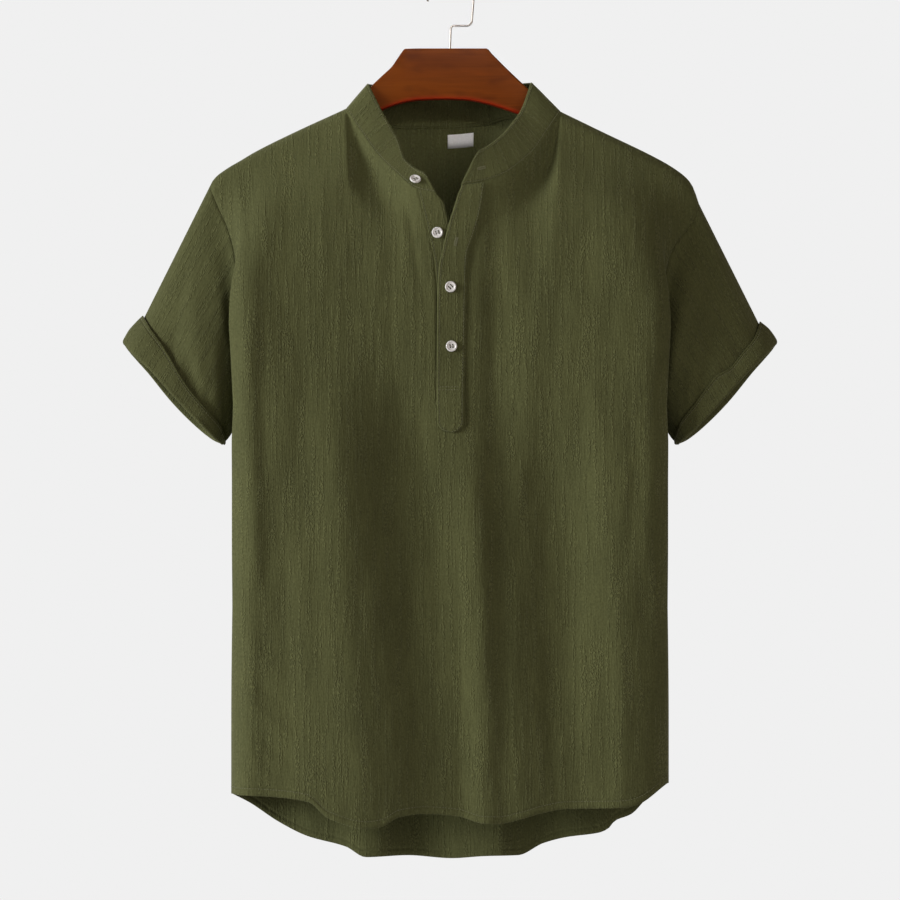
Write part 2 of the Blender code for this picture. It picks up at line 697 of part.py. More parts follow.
def make_cuff(side, name):
    """The turned-up end, which stands off the sleeve all round."""
    share = sleeve_ring(side)[2]
    reach = read(CUFF[side], CUFF_COLUMNS, "reach", share)
    stand = read(CUFF[side], CUFF_COLUMNS, "stand", share)
    rows = np.linspace(0, 1, CUFF_ROWS + 1)
    points = np.array([sleeve_places(side, 1 + CUFF_PAST_SLEEVE - reach * (1 - row)) for row in rows])
    faces = grid_faces(points.shape[0], points.shape[1], closed=True)
    cuff = Sheet(name, points, faces, CUFF_WALL, flip=side > 0)
    out = SEAM_GAP + CUFF_WALL + np.concatenate([stand * np.sin(row * np.pi / 2) for row in rows])
    cuff.points = cuff.points + cuff.normals * out[:, None] * MM
    return cuff


def make_under_placket():
    """The button placket, level with the panel and sewn to the slit's edge on the wearer's right."""
    x, depth, drop = panel_column(FRONT, 0.0, -1, 1.0, FALL_LEVELS)
    near_neck = 1 - ease((drop - drop[0]) / NECK_TAPER)
    shares = (FRONT_NECK_SHARES[-1],) + BAND_END_SHARES
    columns = []
    for cell, share in enumerate(shares):
        width = UNDER_PLACKET_WIDTH * cell / (len(shares) - 1)
        seam_x, seam_depth, seam_drop = (
            read(FRONT_NECK[-1], NECK_COLUMNS, name, share) for name in ("x", "depth", "drop")
        )
        across = x + width + (seam_x - x[0] - width) * near_neck
        down = drop + (seam_drop - drop[0]) * near_neck
        columns.append(true_place(across, depth + (seam_depth - depth[0]) * near_neck, down))
    points = np.stack(columns, axis=1)
    return Sheet("placket_under", points, grid_faces(points.shape[0], points.shape[1]), CLOTH)


def front_middle(side, x, drop):
    """The place on the front's surface at x and drop, close to its middle."""
    column_x, depth, column_drop = panel_column(FRONT, 0.0, side, 1.0, PLACKET_LEVELS)
    at = np.interp(drop, column_drop, depth)
    at_x = np.interp(drop, column_drop, column_x)
    change = fold_depth(FRONT_FOLDS, x, drop) - fold_depth(FRONT_FOLDS, at_x, drop)
    loose = ease((drop - column_drop[0] - FLAT_BELOW_SEAM) / FOLDS_GROW_OVER)
    return true_place(x, at + change * loose, drop)


def upper_placket_edges():
    """The drops of the upper placket's rows, and x of its free edge and its sewn edge there."""
    drops = list(panel_column(FRONT, 0.0, 1, 1.0, FALL_LEVELS)[2])
    left = list(smooth_line(np.array(drops), *zip(*PLACKET_FREE_EDGE)))
    right = list(smooth_line(np.array(drops), *zip(*SLIT[1])) + PLACKET_LAP)
    round_length = TAB_DROP - TAB_SHOULDER_DROP
    middle = (TAB_LEFT + TAB_RIGHT) / 2
    half = (TAB_RIGHT - TAB_LEFT) / 2
    for turn in np.linspace(0, TAB_LAST_TURN, TAB_STEPS):
        drops.append(TAB_SHOULDER_DROP + round_length * np.sin(turn))
        left.append(middle - half * np.cos(turn))
        right.append(middle + half * np.cos(turn))
    return np.array(drops), np.array(left), np.array(right)


def make_upper_placket():
    """The buttonhole placket, which lies over the slit and is sewn down beside it."""
    drops, left, right = upper_placket_edges()
    near_neck = 1 - ease((drops - drops[0]) / NECK_TAPER)
    seam_x, seam_drop = (
        read(FRONT_NECK[1], NECK_COLUMNS, name, np.array((BAND_END_SHARES[-1], 1.0)))
        for name in ("x", "drop")
    )
    columns = []
    for cell in range(PLACKET_WIDE_CELLS + 1):
        x = left + (right - left) * cell / PLACKET_WIDE_CELLS
        lower = np.interp(x[0], seam_x, seam_drop) + PLACKET_BELOW_BAND - drops[0]
        columns.append(front_middle(1, x, drops + lower * near_neck))
    points = np.stack(columns, axis=1)
    placket = Sheet("placket_upper", points, grid_faces(points.shape[0], points.shape[1]), PLACKET)
    return placket.moved_out(SEAM_GAP + PLACKET)


def make_label():
    """The small label inside the back of the neck, with nothing on it."""
    columns = [panel_points(BACK, back_neck_column(share), LABEL_LEVELS) for share in LABEL_SHARES]
    points = np.stack(columns, axis=1)
    label = Sheet("size_label", points, grid_faces(points.shape[0], points.shape[1]), LABEL, "label")
    return label.moved_out(-SEAM_GAP - CLOTH)


def make_button(name, centre, normal):
    """A round button with a raised rim, its back just off the cloth."""
    normal = normal / np.linalg.norm(normal)
    right = np.cross(np.array((0.0, 0.0, 1.0)), normal)
    right = right / np.linalg.norm(right)
    up = np.cross(normal, right)
    start = centre + normal * SEAM_GAP * MM
    points = [start]
    rings = BUTTON_PROFILE[1:-1]
    for radius, height in rings:
        for turn in np.arange(BUTTON_SIDES) * 2 * np.pi / BUTTON_SIDES:
            out = (right * np.cos(turn) + up * np.sin(turn)) * radius
            points.append(start + (out + normal * height) * MM)
    points.append(start + normal * BUTTON_PROFILE[-1][1] * MM)
    ring_faces = grid_faces(len(rings), BUTTON_SIDES, closed=True)
    faces = [tuple(1 + i for i in face[::-1]) for face in ring_faces]
    last = len(points) - 1
    for i in range(BUTTON_SIDES):
        after = (i + 1) % BUTTON_SIDES
        faces.append((0, 1 + after, 1 + i))
        faces.append((last, last - BUTTON_SIDES + i, last - BUTTON_SIDES + after))
    add_object(name, points, faces, "button")


def normal_at(surface, x, drop):
    """The outward normal of a surface that is given as a place for each x and drop."""
    along = surface(x + 1, drop) - surface(x - 1, drop)
    down = surface(x, drop + 1) - surface(x, drop - 1)
    return np.cross(down, along)


def leaned(centre, normal):
    """The top button's place and facing: it lies on its rim and leans towards the neck."""
    normal = normal / np.linalg.norm(normal)
    towards = BUTTON_1_LEANS_TO - normal * (BUTTON_1_LEANS_TO @ normal)
    towards = towards / np.linalg.norm(towards)
    raised = BUTTON_PROFILE[1][0] * np.sin(BUTTON_1_LEAN)
    return centre + normal * raised * MM, normal * np.cos(BUTTON_1_LEAN) + towards * np.sin(BUTTON_1_LEAN)


def make_buttons():
    """The top button on the band, the next on the under placket, and two done up."""
    neck, share, height = FRONT_NECK[-1], BUTTON_1_SHARE, BUTTON_1_HEIGHT
    along = band_point(neck, share + 0.04, height) - band_point(neck, share - 0.04, height)
    up = band_point(neck, share, height + 0.1) - band_point(neck, share, height - 0.1)
    centre, normal = leaned(band_point(neck, share, height), np.cross(along, up))
    make_button("button_1", centre, normal)

    def left(x, drop):
        return front_middle(-1, x, drop)

    def right(x, drop):
        return front_middle(1, x, drop)

    make_button("button_2", left(*BUTTON_2), normal_at(left, *BUTTON_2))
    for number, place in enumerate(BUTTONS_ON_PLACKET, 3):
        normal = normal_at(right, *place)
        outside = normal / np.linalg.norm(normal) * (SEAM_GAP + PLACKET) * MM
        make_button(f"button_{number}", right(*place) + outside, normal)


def make_hanger():
    """The flat board: rounded sections across it, lofted from one tip to the other."""
    sections = []
    for x, top, bottom, rounding in HANGER:
        section = []
        for across, down in ((1, 1), (1, -1), (-1, -1), (-1, 1)):
            corner = (HANGER_HALF - rounding) * across
            level = bottom - rounding if down > 0 else top + rounding
            turns = np.linspace(0, np.pi / 2, HANGER_CORNER_STEPS + 1)
            turns = turns if across * down < 0 else turns[::-1]
            for turn in turns:
                depth = corner + across * rounding * np.cos(turn)
                drop = level + down * rounding * np.sin(turn)
                section.append((x * MM, -depth * MM, -drop * MM))
        sections.append(section)
    count = len(sections[0])
    points = [point for section in sections for point in section]
    faces = grid_faces(len(sections), count, closed=True)
    faces.append(tuple(range(count)))
    faces.append(tuple(len(points) - 1 - i for i in range(count)))
    add_object("hanger", points, faces, "wood")


def bend(path, corner, before, after, radius, steps):
    """Adds a rounded corner to a path in the plane of the hook."""
    corner, before, after = (np.array(place, float) for place in (corner, before, after))
    come = (before - corner) / np.linalg.norm(before - corner)
    leave = (after - corner) / np.linalg.norm(after - corner)
    half_angle = np.arccos(come @ leave) / 2
    reach = radius / np.tan(half_angle)
    middle = corner + (come + leave) / np.linalg.norm(come + leave) * radius / np.sin(half_angle)
    start, end = corner + come * reach - middle, corner + leave * reach - middle
    for t in np.linspace(0, 1, steps + 1):
        out = start * (1 - t) + end * t
        path.append(tuple(middle + out / np.linalg.norm(out) * radius))


def make_hook():
    """The wire: up from the board, aside in a step, and round in the open hook over the rail."""
    foot = (0.0, HOOK_SHANK_FOOT)
    step = (HOOK_STEP_X, HOOK_STEP_DROP)
    rise = (HOOK_RISE_X, HOOK_STEP_DROP)
    arc_start = (HOOK_RADIUS, HOOK_ARC_DROP)
    path = [foot]
    bend(path, step, foot, rise, HOOK_LOWER_BEND, HOOK_BEND_STEPS)
    bend(path, rise, step, arc_start, HOOK_UPPER_BEND, HOOK_BEND_STEPS)
    for turn in np.radians(np.linspace(0, HOOK_TIP_TURN, HOOK_ARC_STEPS + 1)):
        path.append((HOOK_RADIUS * np.cos(turn), HOOK_ARC_DROP - HOOK_RADIUS * np.sin(turn)))
    curve = bpy.data.curves.new("hook", "CURVE")
    curve.dimensions = "3D"
    curve.bevel_depth = HOOK_WIRE * MM
    curve.bevel_resolution = 2
    curve.use_fill_caps = True
    spline = curve.splines.new("POLY")
    spline.points.add(len(path) - 1)
    for point, (x, drop) in zip(spline.points, path):
        point.co = (x * MM, 0.0, -drop * MM, 1.0)
    curve.materials.append(make_material("wire"))
    bpy.context.scene.collection.objects.link(bpy.data.objects.new("hook", curve))


def main():
    start_scene()
    sheets = [
        make_front(),
        make_back(),
        make_sleeve(-1, "sleeve_right"),
        make_sleeve(1, "sleeve_left"),
        make_cuff(-1, "cuff_right"),
        make_cuff(1, "cuff_left"),
        make_band(),
        make_under_placket(),
        make_upper_placket(),
        make_label(),
    ]
    share_seam_normals(sheets)
    for sheet in sheets:
        sheet.build()
    make_buttons()
    make_hanger()
    make_hook()


main()
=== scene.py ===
"""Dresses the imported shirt: creased thin cloth, stitches, real buttons, lacquered wood and wire.

Lengths are in millimetres until a mesh is made. Three numbers place a point: x to the right as the
shirt is seen from the front, depth towards the front (negative behind), and drop below the rail
that the hook hangs on. The cloth is first laid out as it looks from the front, and true_place
then brings what is nearer the eye back to its real size.
"""

import bpy
import mathutils
import numpy as np
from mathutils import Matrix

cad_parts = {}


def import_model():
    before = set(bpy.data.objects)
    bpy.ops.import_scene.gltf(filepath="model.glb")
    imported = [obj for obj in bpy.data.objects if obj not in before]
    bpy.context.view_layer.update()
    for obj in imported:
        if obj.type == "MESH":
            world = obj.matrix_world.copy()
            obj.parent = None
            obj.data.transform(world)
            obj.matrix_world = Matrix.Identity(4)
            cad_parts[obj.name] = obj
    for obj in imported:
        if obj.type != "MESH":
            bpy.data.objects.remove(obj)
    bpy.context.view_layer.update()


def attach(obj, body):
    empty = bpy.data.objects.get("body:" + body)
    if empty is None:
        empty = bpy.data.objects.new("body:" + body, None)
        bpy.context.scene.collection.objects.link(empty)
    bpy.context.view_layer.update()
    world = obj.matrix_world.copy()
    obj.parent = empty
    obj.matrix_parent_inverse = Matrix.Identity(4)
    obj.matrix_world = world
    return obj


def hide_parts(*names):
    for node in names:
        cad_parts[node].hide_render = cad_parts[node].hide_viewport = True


MM = 0.001

# How far the eye stands in front, and the drop that it is level with.
EYE_DISTANCE = 3000.0
EYE_DROP = 482.0

CLOTH = 1.5
BAND = 2.0
PLACKET = 1.8
SEAM_GAP = 0.3

# The body hangs between the armholes' lowest points and the hem.
UNDERARM_DROP = 436.0
SHOULDER_ROLL = 8.5

# Where across a half panel the named columns of the tables below lie, from its middle to its side.
ACROSS = {"centre": 0.0, "middle": 0.43, "outer": 0.75, "roll": 0.9, "side": 1.0}
NECK_ACROSS = ACROSS["middle"]

# Each armhole's seam from the shoulder point down to the underarm: drop, x.
ARMHOLE = {
    -1: (
        (219, 240.5), (238, 232.5), (262, 222), (285, 216), (322, 212), (362, 207), (436, 202),
    ),
    1: (
        (236, 249), (249, 246), (260, 238), (274, 227), (292, 219), (322, 212.5), (362, 207), (436, 202),
    ),
}
# Each shoulder seam, from the neck to the shoulder point: x, drop.
SHOULDER = {
    -1: (
        (104, 140.7), (158, 165.5), (195, 184), (208.4, 192), (223.6, 201), (236.1, 211), (240.5, 219),
    ),
    1: (
        (110.7, 143.7), (149.7, 162.6), (210, 192), (225, 201), (237.5, 211), (243, 219), (249, 236),
    ),
}

# Depth of the panels from the shoulder and neck seams down to the underarm, by the share of that fall.
FALL_COLUMNS = ("share", "centre", "middle", "outer", "roll", "side")
FRONT_FALL = (
    (0.00, 55, 8.5, 8.5, 8.5, 8.5),
    (0.10, 56, 20, 22, 18, 12),
    (0.25, 58, 42, 44, 36, 20),
    (0.50, 60, 56, 59, 46, 29),
    (0.75, 61, 61, 64, 47, 25),
    (0.90, 61, 62.5, 65, 47, 16),
    (1.00, 61, 63, 65, 47, 0),
)
BACK_FALL = (
    (0.00, 42, 8.5, 8.5, 8.5, 8.5),
    (0.10, 44, 14, 12, 11, 10.5),
    (0.25, 47, 27, 22, 18, 16),
    (0.50, 52, 42, 37, 31, 20),
    (0.75, 56, 52, 46, 36, 15),
    (0.90, 57, 54, 48, 37, 9),
    (1.00, 57, 55, 49, 36, 0),
)

# The body below the underarm: depth at each column, and how far out the roll and the side seam lie.
BODY_COLUMNS = ("drop", "centre", "middle", "outer", "roll", "side", "roll_x", "side_x")
FRONT_BODY = (
    (436, 61, 63, 65, 47, 0, 217, 202),
    (452, 61, 63, 65.3, 47, 0, 217.5, 196),
    (475, 61, 63, 65.5, 46, 0, 218.4, 195),
    (515, 61, 63, 65, 44, 0, 218.2, 202),
    (570, 60, 62, 63, 41, 0, 218.2, 212),
    (640, 59, 60, 59, 37, 0, 217.7, 217.7),
    (760, 56, 57, 54, 32, 0, 217, 218.8),
    (900, 53, 53, 49, 28, 0, 217, 218.8),
)
BACK_BODY = (
    (436, 57, 55, 49, 36, 0, 216, 202),
    (452, 57, 55, 50, 36, 0, 216.5, 196),
    (475, 57, 55, 50, 35, 0, 217.4, 195),
    (515, 57, 55, 50, 34, 0, 217.2, 202),
    (570, 57, 55, 49, 32, 0, 217.2, 212),
    (640, 56, 54, 48, 30, 0, 217.2, 217.7),
    (760, 54, 52, 45, 26, 0, 217, 218.8),
    (900, 52, 50, 42, 24, 0, 217, 218.8),
)
MIDDLE_OF_ROLL = 0.455
OUTER_OF_ROLL = 0.89

# The slit that the plackets fill, from the neck down to its square end at the underarm: drop, x.
SLIT = {
    -1: ((221.5, -32), (255, -24.1), (274.5, -19.6), (297, -15.2), (332, -13), (436, -13)),
    1: (
        (214, 31), (228, 29.3), (243, 26.7), (261, 22), (275, 17), (290, 13.2),
        (327, 12.1), (362, 11.5), (436, 10),
    ),
}

# Hem lines, from the left to the right as seen from the front: x, drop.
FRONT_HEM = (
    (-218, 825.5), (-212, 827), (-177, 829), (-142, 834), (-121, 851), (-83, 861),
    (-69, 859), (-50, 849), (-25, 846), (2, 847), (37, 856), (49, 856),
    (69, 852), (93, 845), (116, 841), (172, 840), (187, 837), (218, 815),
)
BACK_HEM = (
    (-218, 825.5), (-201, 834), (-171, 853.7), (-142, 868), (-104, 878.4), (-84, 889),
    (-42, 887), (2, 890), (34, 888), (68, 887), (93, 875), (116, 869),
    (149, 864.5), (158, 860.5), (165, 852.5), (181, 846), (198, 829), (218, 815),
)

# Folds hang from the drop where they start, lean from one x to another, and fall off on each side:
# start, x at the start, x half way, x at the end, spread to the left, spread to the right, height.
FRONT_FOLDS = (
    (360, -136, -106, -92, 100, 62, 17),
    (340, -66, -14, 12, 46, 24, -7),
    (440, 18, 36, 48, 22, 30, 4.5),
    (400, 88, 118, 136, 56, 150, -15),
    (400, 160, 166, 170, 24, 26, 6),
    (180, -205, -206, -207, 14, 16, 5),
    (225, 45, 48, 55, 13, 18, -5),
)
BACK_FOLDS = (
    (300, -150, -158, -166, 30, 26, 8),
    (360, -92, -86, -78, 26, 24, -9),
    (330, -30, -22, -26, 24, 34, 11),
    (380, 34, 40, 47, 20, 22, -8),
    (320, 92, 100, 104, 30, 20, 10),
    (420, 150, 152, 158, 22, 22, -5),
)
FOLD_END = 900.0
FOLD_START_LENGTH = 130.0
FOLD_FREE = 0.86
# Below a seam at the top, the cloth stays flat over a first length and lets the folds in over a next.
FLAT_BELOW_SEAM = 20.0
FOLDS_GROW_OVER = 60.0

# The shares of the fall over which neck columns settle and the armhole's roll forms, the share of the
# neck over which rows become even, and the length over which a placket's top fits the band.
NECK_SETTLE = 0.3
ROLL_FORMED = 0.7
NECK_EVEN = 0.25
NECK_TAPER = 14.0

# The collar band: its seam round the neck, and its upper edge, by the share from shoulder seam to slit.
NECK_COLUMNS = ("share", "x", "depth", "drop", "top_x", "top_depth", "top_drop")
FRONT_NECK = {
    -1: (
        (0.00, -104, 0, 140.7, -82.5, 0, 115.5),
        (0.06, -103, 8.2, 142.6, -81.8, 8.6, 116.6),
        (0.12, -99.5, 11.5, 148.5, -78.6, 11.5, 122.8),
        (0.25, -90, 18, 163, -68, 15.5, 143.5),
        (0.50, -71.5, 32, 188.3, -52, 25, 171.4),
        (0.75, -54.6, 44, 204, -45, 36, 190.7),
        (1.00, -32, 55, 221.5, -30, 47, 202.5),
        (1.20, -14.2, 57, 224.5, -25.5, 50, 204),
    ),
    1: (
        (0.00, 110.7, 0, 143.7, 81.5, 0, 114.3),
        (0.06, 109.8, 8.2, 145.4, 81, 8.6, 115.6),
        (0.12, 106.2, 12.5, 151, 78.8, 12.5, 122),
        (0.25, 96.5, 22, 165, 71.5, 19, 141.5),
        (0.45, 85.4, 34, 181.5, 63, 31, 154),
        (0.65, 70.5, 44, 195.3, 53.3, 41, 165.5),
        (0.85, 51, 52, 208, 40.7, 49, 175.8),
        (1.00, 31, 56, 214, 32, 53, 181.2),
        (1.20, 11.5, 59, 216.2, 27.5, 56, 183.8),
    ),
}
BACK_NECK = (
    (0.00, 110.7, 0, 143.7, 81.5, 0, 114.3),
    (0.04, 109.5, -8.3, 144.8, 80.6, -8.6, 114.6),
    (0.10, 97, -17, 147.5, 73, -15, 115.5),
    (0.22, 60, -31, 151, 47, -26, 118),
    (0.35, 34, -37, 157.5, 28, -32, 125),
    (0.53, -7, -40, 161, -6, -35, 128.5),
    (0.72, -48, -37, 161, -39, -32, 128),
    (0.87, -82, -25, 152, -64, -22, 120),
    (0.92, -92, -17, 147.5, -73, -15, 117.5),
    (0.96, -102.8, -8.3, 142, -81.6, -8.6, 116),
    (1.00, -104, 0, 140.7, -82.5, 0, 115.5),
)

# The sleeve's open end, from the fold at its top round to the fold at its lowest point. Near the
# underarm the sleeve starts a little way off the armhole, and swings out before it falls.
SLEEVE_END_COLUMNS = ("share", "x", "drop", "depth")
SLEEVE_END = (
    (0.00, 319, 376, 0),
    (0.10, 312, 385.5, 19),
    (0.25, 296.5, 402.2, 30),
    (0.45, 275.3, 427, 37),
    (0.65, 254, 449.8, 36),
    (0.80, 240, 463.8, 28),
    (0.92, 232, 471, 15),
    (1.00, 227.5, 473.5, 0),
)
SLEEVE_FULLNESS = 6.0
FAR_SIDE_SHIFT = 5.0
UNDERARM_OUT = 4.0
UNDERARM_SAG = 12.5
UNDERARM_GAP = 1.5
UNDERARM_NEAR = 8

# The turned-up end: how far up the sleeve it reaches, and how far it stands off the sleeve.
CUFF_COLUMNS = ("share", "reach", "stand")
CUFF = {
    -1: (
        (0.00, 0.175, 6.5), (0.15, 0.165, 4.0), (0.30, 0.15, 1.8), (0.50, 0.13, 0.8),
        (0.70, 0.15, 0.6), (0.85, 0.20, 0.8), (1.00, 0.24, 0.6),
    ),
    1: (
        (0.00, 0.155, 6.5), (0.15, 0.115, 4.0), (0.32, 0.105, 1.8), (0.46, 0.17, 0.8),
        (0.65, 0.18, 0.6), (0.85, 0.22, 0.8), (1.00, 0.24, 0.6),
    ),
}
CUFF_WALL = 2.0

# The upper placket: its free edge, its tab, and how far it laps over the panel beside the slit.
PLACKET_LAP = 4.0
PLACKET_FREE_EDGE = (
    (216, 11.5), (241.5, 3.6), (259, -1.8), (281.6, -7.1),
    (297.7, -10.7), (310, -11.6), (332, -12.5), (436, -13.2),
)
TAB_DROP = 464.0
TAB_SHOULDER_DROP = 453.0
TAB_LEFT = -12.5
TAB_RIGHT = 14.0
TAB_LAST_TURN = 1.45
PLACKET_BELOW_BAND = 1.0
UNDER_PLACKET_WIDTH = 22.5

# The buttons' places: x and drop on the front, or the share and the height on the band.
BUTTON_2 = (-12.6, 264.7)
BUTTONS_ON_PLACKET = ((0.6, 319.0), (1.5, 378.2))
BUTTON_1_SHARE = 0.955
BUTTON_1_HEIGHT = 0.37
BUTTON_1_LEAN = np.radians(24.0)
BUTTON_1_LEANS_TO = np.array((0.57, 0.0, 0.82))
PLACKET_LEVELS = np.linspace(0.0, 2.3, 120)

# The label's ends along the back neck, and its upper and lower edge as levels of the back.
LABEL_SHARES = (0.395, 0.51)
LABEL_LEVELS = (0.7, 1.043)
LABEL_WALL = 0.6
LABEL_OFF_BACK = 0.35

# The hanger's board: x, the drop of its upper and its lower edge, and how round its edges are.
HANGER_COLUMNS = ("x", "top", "bottom", "rounding")
HANGER = (
    (-219, 206, 212, 3.0),
    (-214, 199.2, 214, 6.0),
    (-205, 192.9, 211, 6.4),
    (-195, 186.8, 206, 6.4),
    (-175, 176.7, 196, 6.4),
    (-158, 168.2, 188, 6.4),
    (-130, 155.4, 175, 6.4),
    (-104, 144.8, 163, 6.4),
    (-92, 133.2, 155.5, 5.5),
    (-80, 119.8, 148.6, 3.5),
    (-68, 108.4, 142.3, 2.4),
    (-58, 99.0, 138.4, 2.0),
    (-53, 91.8, 136.8, 2.0),
    (-49, 86.0, 135.6, 2.0),
    (-45, 81.4, 134.5, 2.0),
    (-30, 81, 132.4, 2.0),
    (-6, 81, 131.6, 2.0),
    (15, 81, 132.3, 2.0),
    (36.5, 81, 136.0, 2.0),
    (42, 86.5, 137.5, 2.0),
    (58, 102.4, 142.7, 2.4),
    (77.5, 120.6, 149.8, 3.5),
    (92, 133.6, 156.5, 5.5),
    (110.7, 147.8, 166, 6.4),
    (135, 158.2, 178, 6.4),
    (160, 170.5, 190, 6.4),
    (190, 185.0, 205, 6.4),
    (208, 194.1, 214, 6.4),
    (216, 201.0, 217, 6.0),
    (221, 208, 214, 3.0),
)
HANGER_HALF = 6.5

# The hook: its wire's radius, the arc over the rail, and the step in the wire above the board.
HOOK_WIRE = 1.0
HOOK_RADIUS = 24.2
HOOK_ARC_DROP = HOOK_RADIUS - HOOK_WIRE
HOOK_SHANK_FOOT = 80.6
HOOK_STEP_X = 0.8
HOOK_STEP_DROP = 57.8
HOOK_LOWER_BEND = 3.6
HOOK_UPPER_BEND = 5.2
HOOK_RISE_X = 21.5
HOOK_TIP_TURN = 205.0


def smooth_line(at, xs, ys):
    """Reads at the places in at a smooth curve through the points (xs, ys) that never swings past them."""
    xs = np.asarray(xs, float)
    ys = np.asarray(ys, float)
    at = np.clip(at, xs[0], xs[-1])
    steps = np.diff(xs)
    slopes = (np.diff(ys, axis=0).T / steps).T
    product = slopes[:-1] * slopes[1:]
    level = product <= 0
    inner = np.where(level, 0, 2 * product / np.where(level, 1, slopes[:-1] + slopes[1:]))
    tangents = np.concatenate([slopes[:1], inner, slopes[-1:]])
    cell = np.clip(np.searchsorted(xs, at, side="right") - 1, 0, len(steps) - 1)
    step = steps[cell]
    t = (at - xs[cell]) / step
    rise = (3 * t**2 - 2 * t**3) * (ys[cell + 1] - ys[cell])
    leave = t * (1 - t) ** 2 * step * tangents[cell]
    arrive = t**2 * (t - 1) * step * tangents[cell + 1]
    return ys[cell] + rise + leave + arrive


def read(table, columns, name, at):
    """A table's named column, read smoothly at the places in at along its first column."""
    column = columns.index(name)
    return smooth_line(at, [row[0] for row in table], [row[column] for row in table])


def ease(t):
    """Runs from 0 to 1 with a soft start and end."""
    t = np.clip(t, 0.0, 1.0)
    return t * t * (3 - 2 * t)


def true_place(x, depth, drop):
    """The true place in metres of what is seen from the front at x and drop."""
    nearness = 1 - depth / EYE_DISTANCE
    true_drop = EYE_DROP + (drop - EYE_DROP) * nearness
    return np.stack(np.broadcast_arrays(x * nearness, -depth, -true_drop), axis=-1) * MM


def fold_depth(folds, x, drop):
    """How far the hanging folds push the cloth out at x and drop."""
    total = np.zeros(np.broadcast(x, drop).shape)
    for start, x_start, x_mid, x_end, left, right, height in folds:
        along = np.clip((drop - start) / (FOLD_END - start), 0, 1)
        away = x - smooth_line(along, (0, 0.5, 1), (x_start, x_mid, x_end))
        spread = np.where(away < 0, left, right)
        total = total + height * np.exp(-((away / spread) ** 2)) * ease((drop - start) / FOLD_START_LENGTH)
    return total


def half_x(panel, across, side, drop):
    """x at a place across a half panel, on a level at or below the underarm."""
    roll = read(panel["body"], BODY_COLUMNS, "roll_x", drop)
    seam = read(panel["body"], BODY_COLUMNS, "side_x", drop)
    middle = abs(SLIT[side][-1][1]) if panel["slit"] else 0.0
    knots = np.stack(np.broadcast_arrays(middle, MIDDLE_OF_ROLL * roll, OUTER_OF_ROLL * roll, roll, seam))
    return side * smooth_line(across, list(ACROSS.values()), knots)


def body_column(panel, across, side, shares):
    """x, depth and drop of a column below the underarm, by the shares of its way down to the hem."""
    hem_drop = smooth_line(half_x(panel, across, side, FOLD_END), *zip(*panel["hem"]))
    drop = UNDERARM_DROP + (hem_drop - UNDERARM_DROP) * shares
    depths = np.stack([read(panel["body"], BODY_COLUMNS, name, drop) for name in ACROSS])
    return half_x(panel, across, side, drop), smooth_line(across, list(ACROSS.values()), depths), drop


def column_top(panel, across, side, share):
    """x, depth and drop where a column starts, on the shoulder seam or at the neck."""
    if across >= NECK_ACROSS:
        xs, drops = zip(*SHOULDER[side])
        x = xs[0] + (xs[-1] - xs[0]) * (across - NECK_ACROSS) / (1 - NECK_ACROSS)
        return side * x, 0.0, smooth_line(x, xs, drops)
    neck = panel["neck"][side]
    x, depth, drop = (read(neck, NECK_COLUMNS, name, share) for name in ("x", "depth", "drop"))
    return x, abs(depth), drop


def fall_column(panel, across, side, share, levels):
    """x, depth and drop of a column from its seam at the top down to the underarm's level."""
    top_x, top_depth, top_drop = column_top(panel, across, side, share)
    from_neck = ease((1 - across / NECK_ACROSS) / NECK_EVEN)
    rolled = SHOULDER_ROLL * (1 - np.cos(np.clip(levels, 0, 1) * np.pi / 2)) * (1 - from_neck)
    rolled = rolled + SHOULDER_ROLL * np.clip(levels, 0, 1) * from_neck
    below = (UNDERARM_DROP - top_drop - SHOULDER_ROLL) * np.clip(levels - 1, 0, 1)
    fallen = (rolled + below) / (UNDERARM_DROP - top_drop)

    seam_drops, seam_xs = zip(*ARMHOLE[side])
    seam_at = seam_drops[0] + (seam_drops[-1] - seam_drops[0]) * fallen
    low_x = half_x(panel, across, side, UNDERARM_DROP)
    rolled_in = ease(fallen / ROLL_FORMED)
    from_seam = (abs(top_x) - seam_xs[0]) * (1 - rolled_in) + (abs(low_x) - seam_xs[-1]) * rolled_in
    beside_seam = side * (smooth_line(seam_at, seam_drops, seam_xs) + from_seam)
    outward = ease((across - NECK_ACROSS) / (1 - NECK_ACROSS))
    x = (top_x + (low_x - top_x) * fallen) * (1 - outward) + beside_seam * outward
    if panel["slit"] and across < NECK_ACROSS:
        drops, xs = zip(*SLIT[side])
        straight = xs[0] + (xs[-1] - xs[0]) * fallen
        bent = smooth_line(drops[0] + (drops[-1] - drops[0]) * fallen, drops, xs) - straight
        x = x + bent * (1 - across / NECK_ACROSS) ** 2

    depths = np.stack([read(panel["fall"], FALL_COLUMNS, name, fallen) for name in ACROSS])
    hanging = smooth_line(across, list(ACROSS.values()), depths)
    over_shoulder = np.sin(np.clip(levels, 0, 1) * np.pi / 2)
    settled = over_shoulder * (1 - from_neck) + ease(fallen / NECK_SETTLE) * from_neck
    return x, top_depth + (hanging - top_depth) * settled, top_drop + rolled + below


def panel_column(panel, across, side, share, levels):
    """The column's x, depth and drop at the levels, with the hanging folds in it."""
    levels = np.asarray(levels, float)
    upper = fall_column(panel, across, side, share, levels[levels <= 2])
    lower = body_column(panel, across, side, levels[levels > 2] - 2)
    x, depth, drop = (np.concatenate(pair) for pair in zip(upper, lower))
    below_seam = drop - upper[2][0] if len(upper[2]) else drop
    loose = ease((below_seam - FLAT_BELOW_SEAM) / FOLDS_GROW_OVER)
    loose = loose * (1 - ease((across - FOLD_FREE) / (1 - FOLD_FREE)))
    return x, depth + fold_depth(panel["folds"], x, drop) * loose, drop


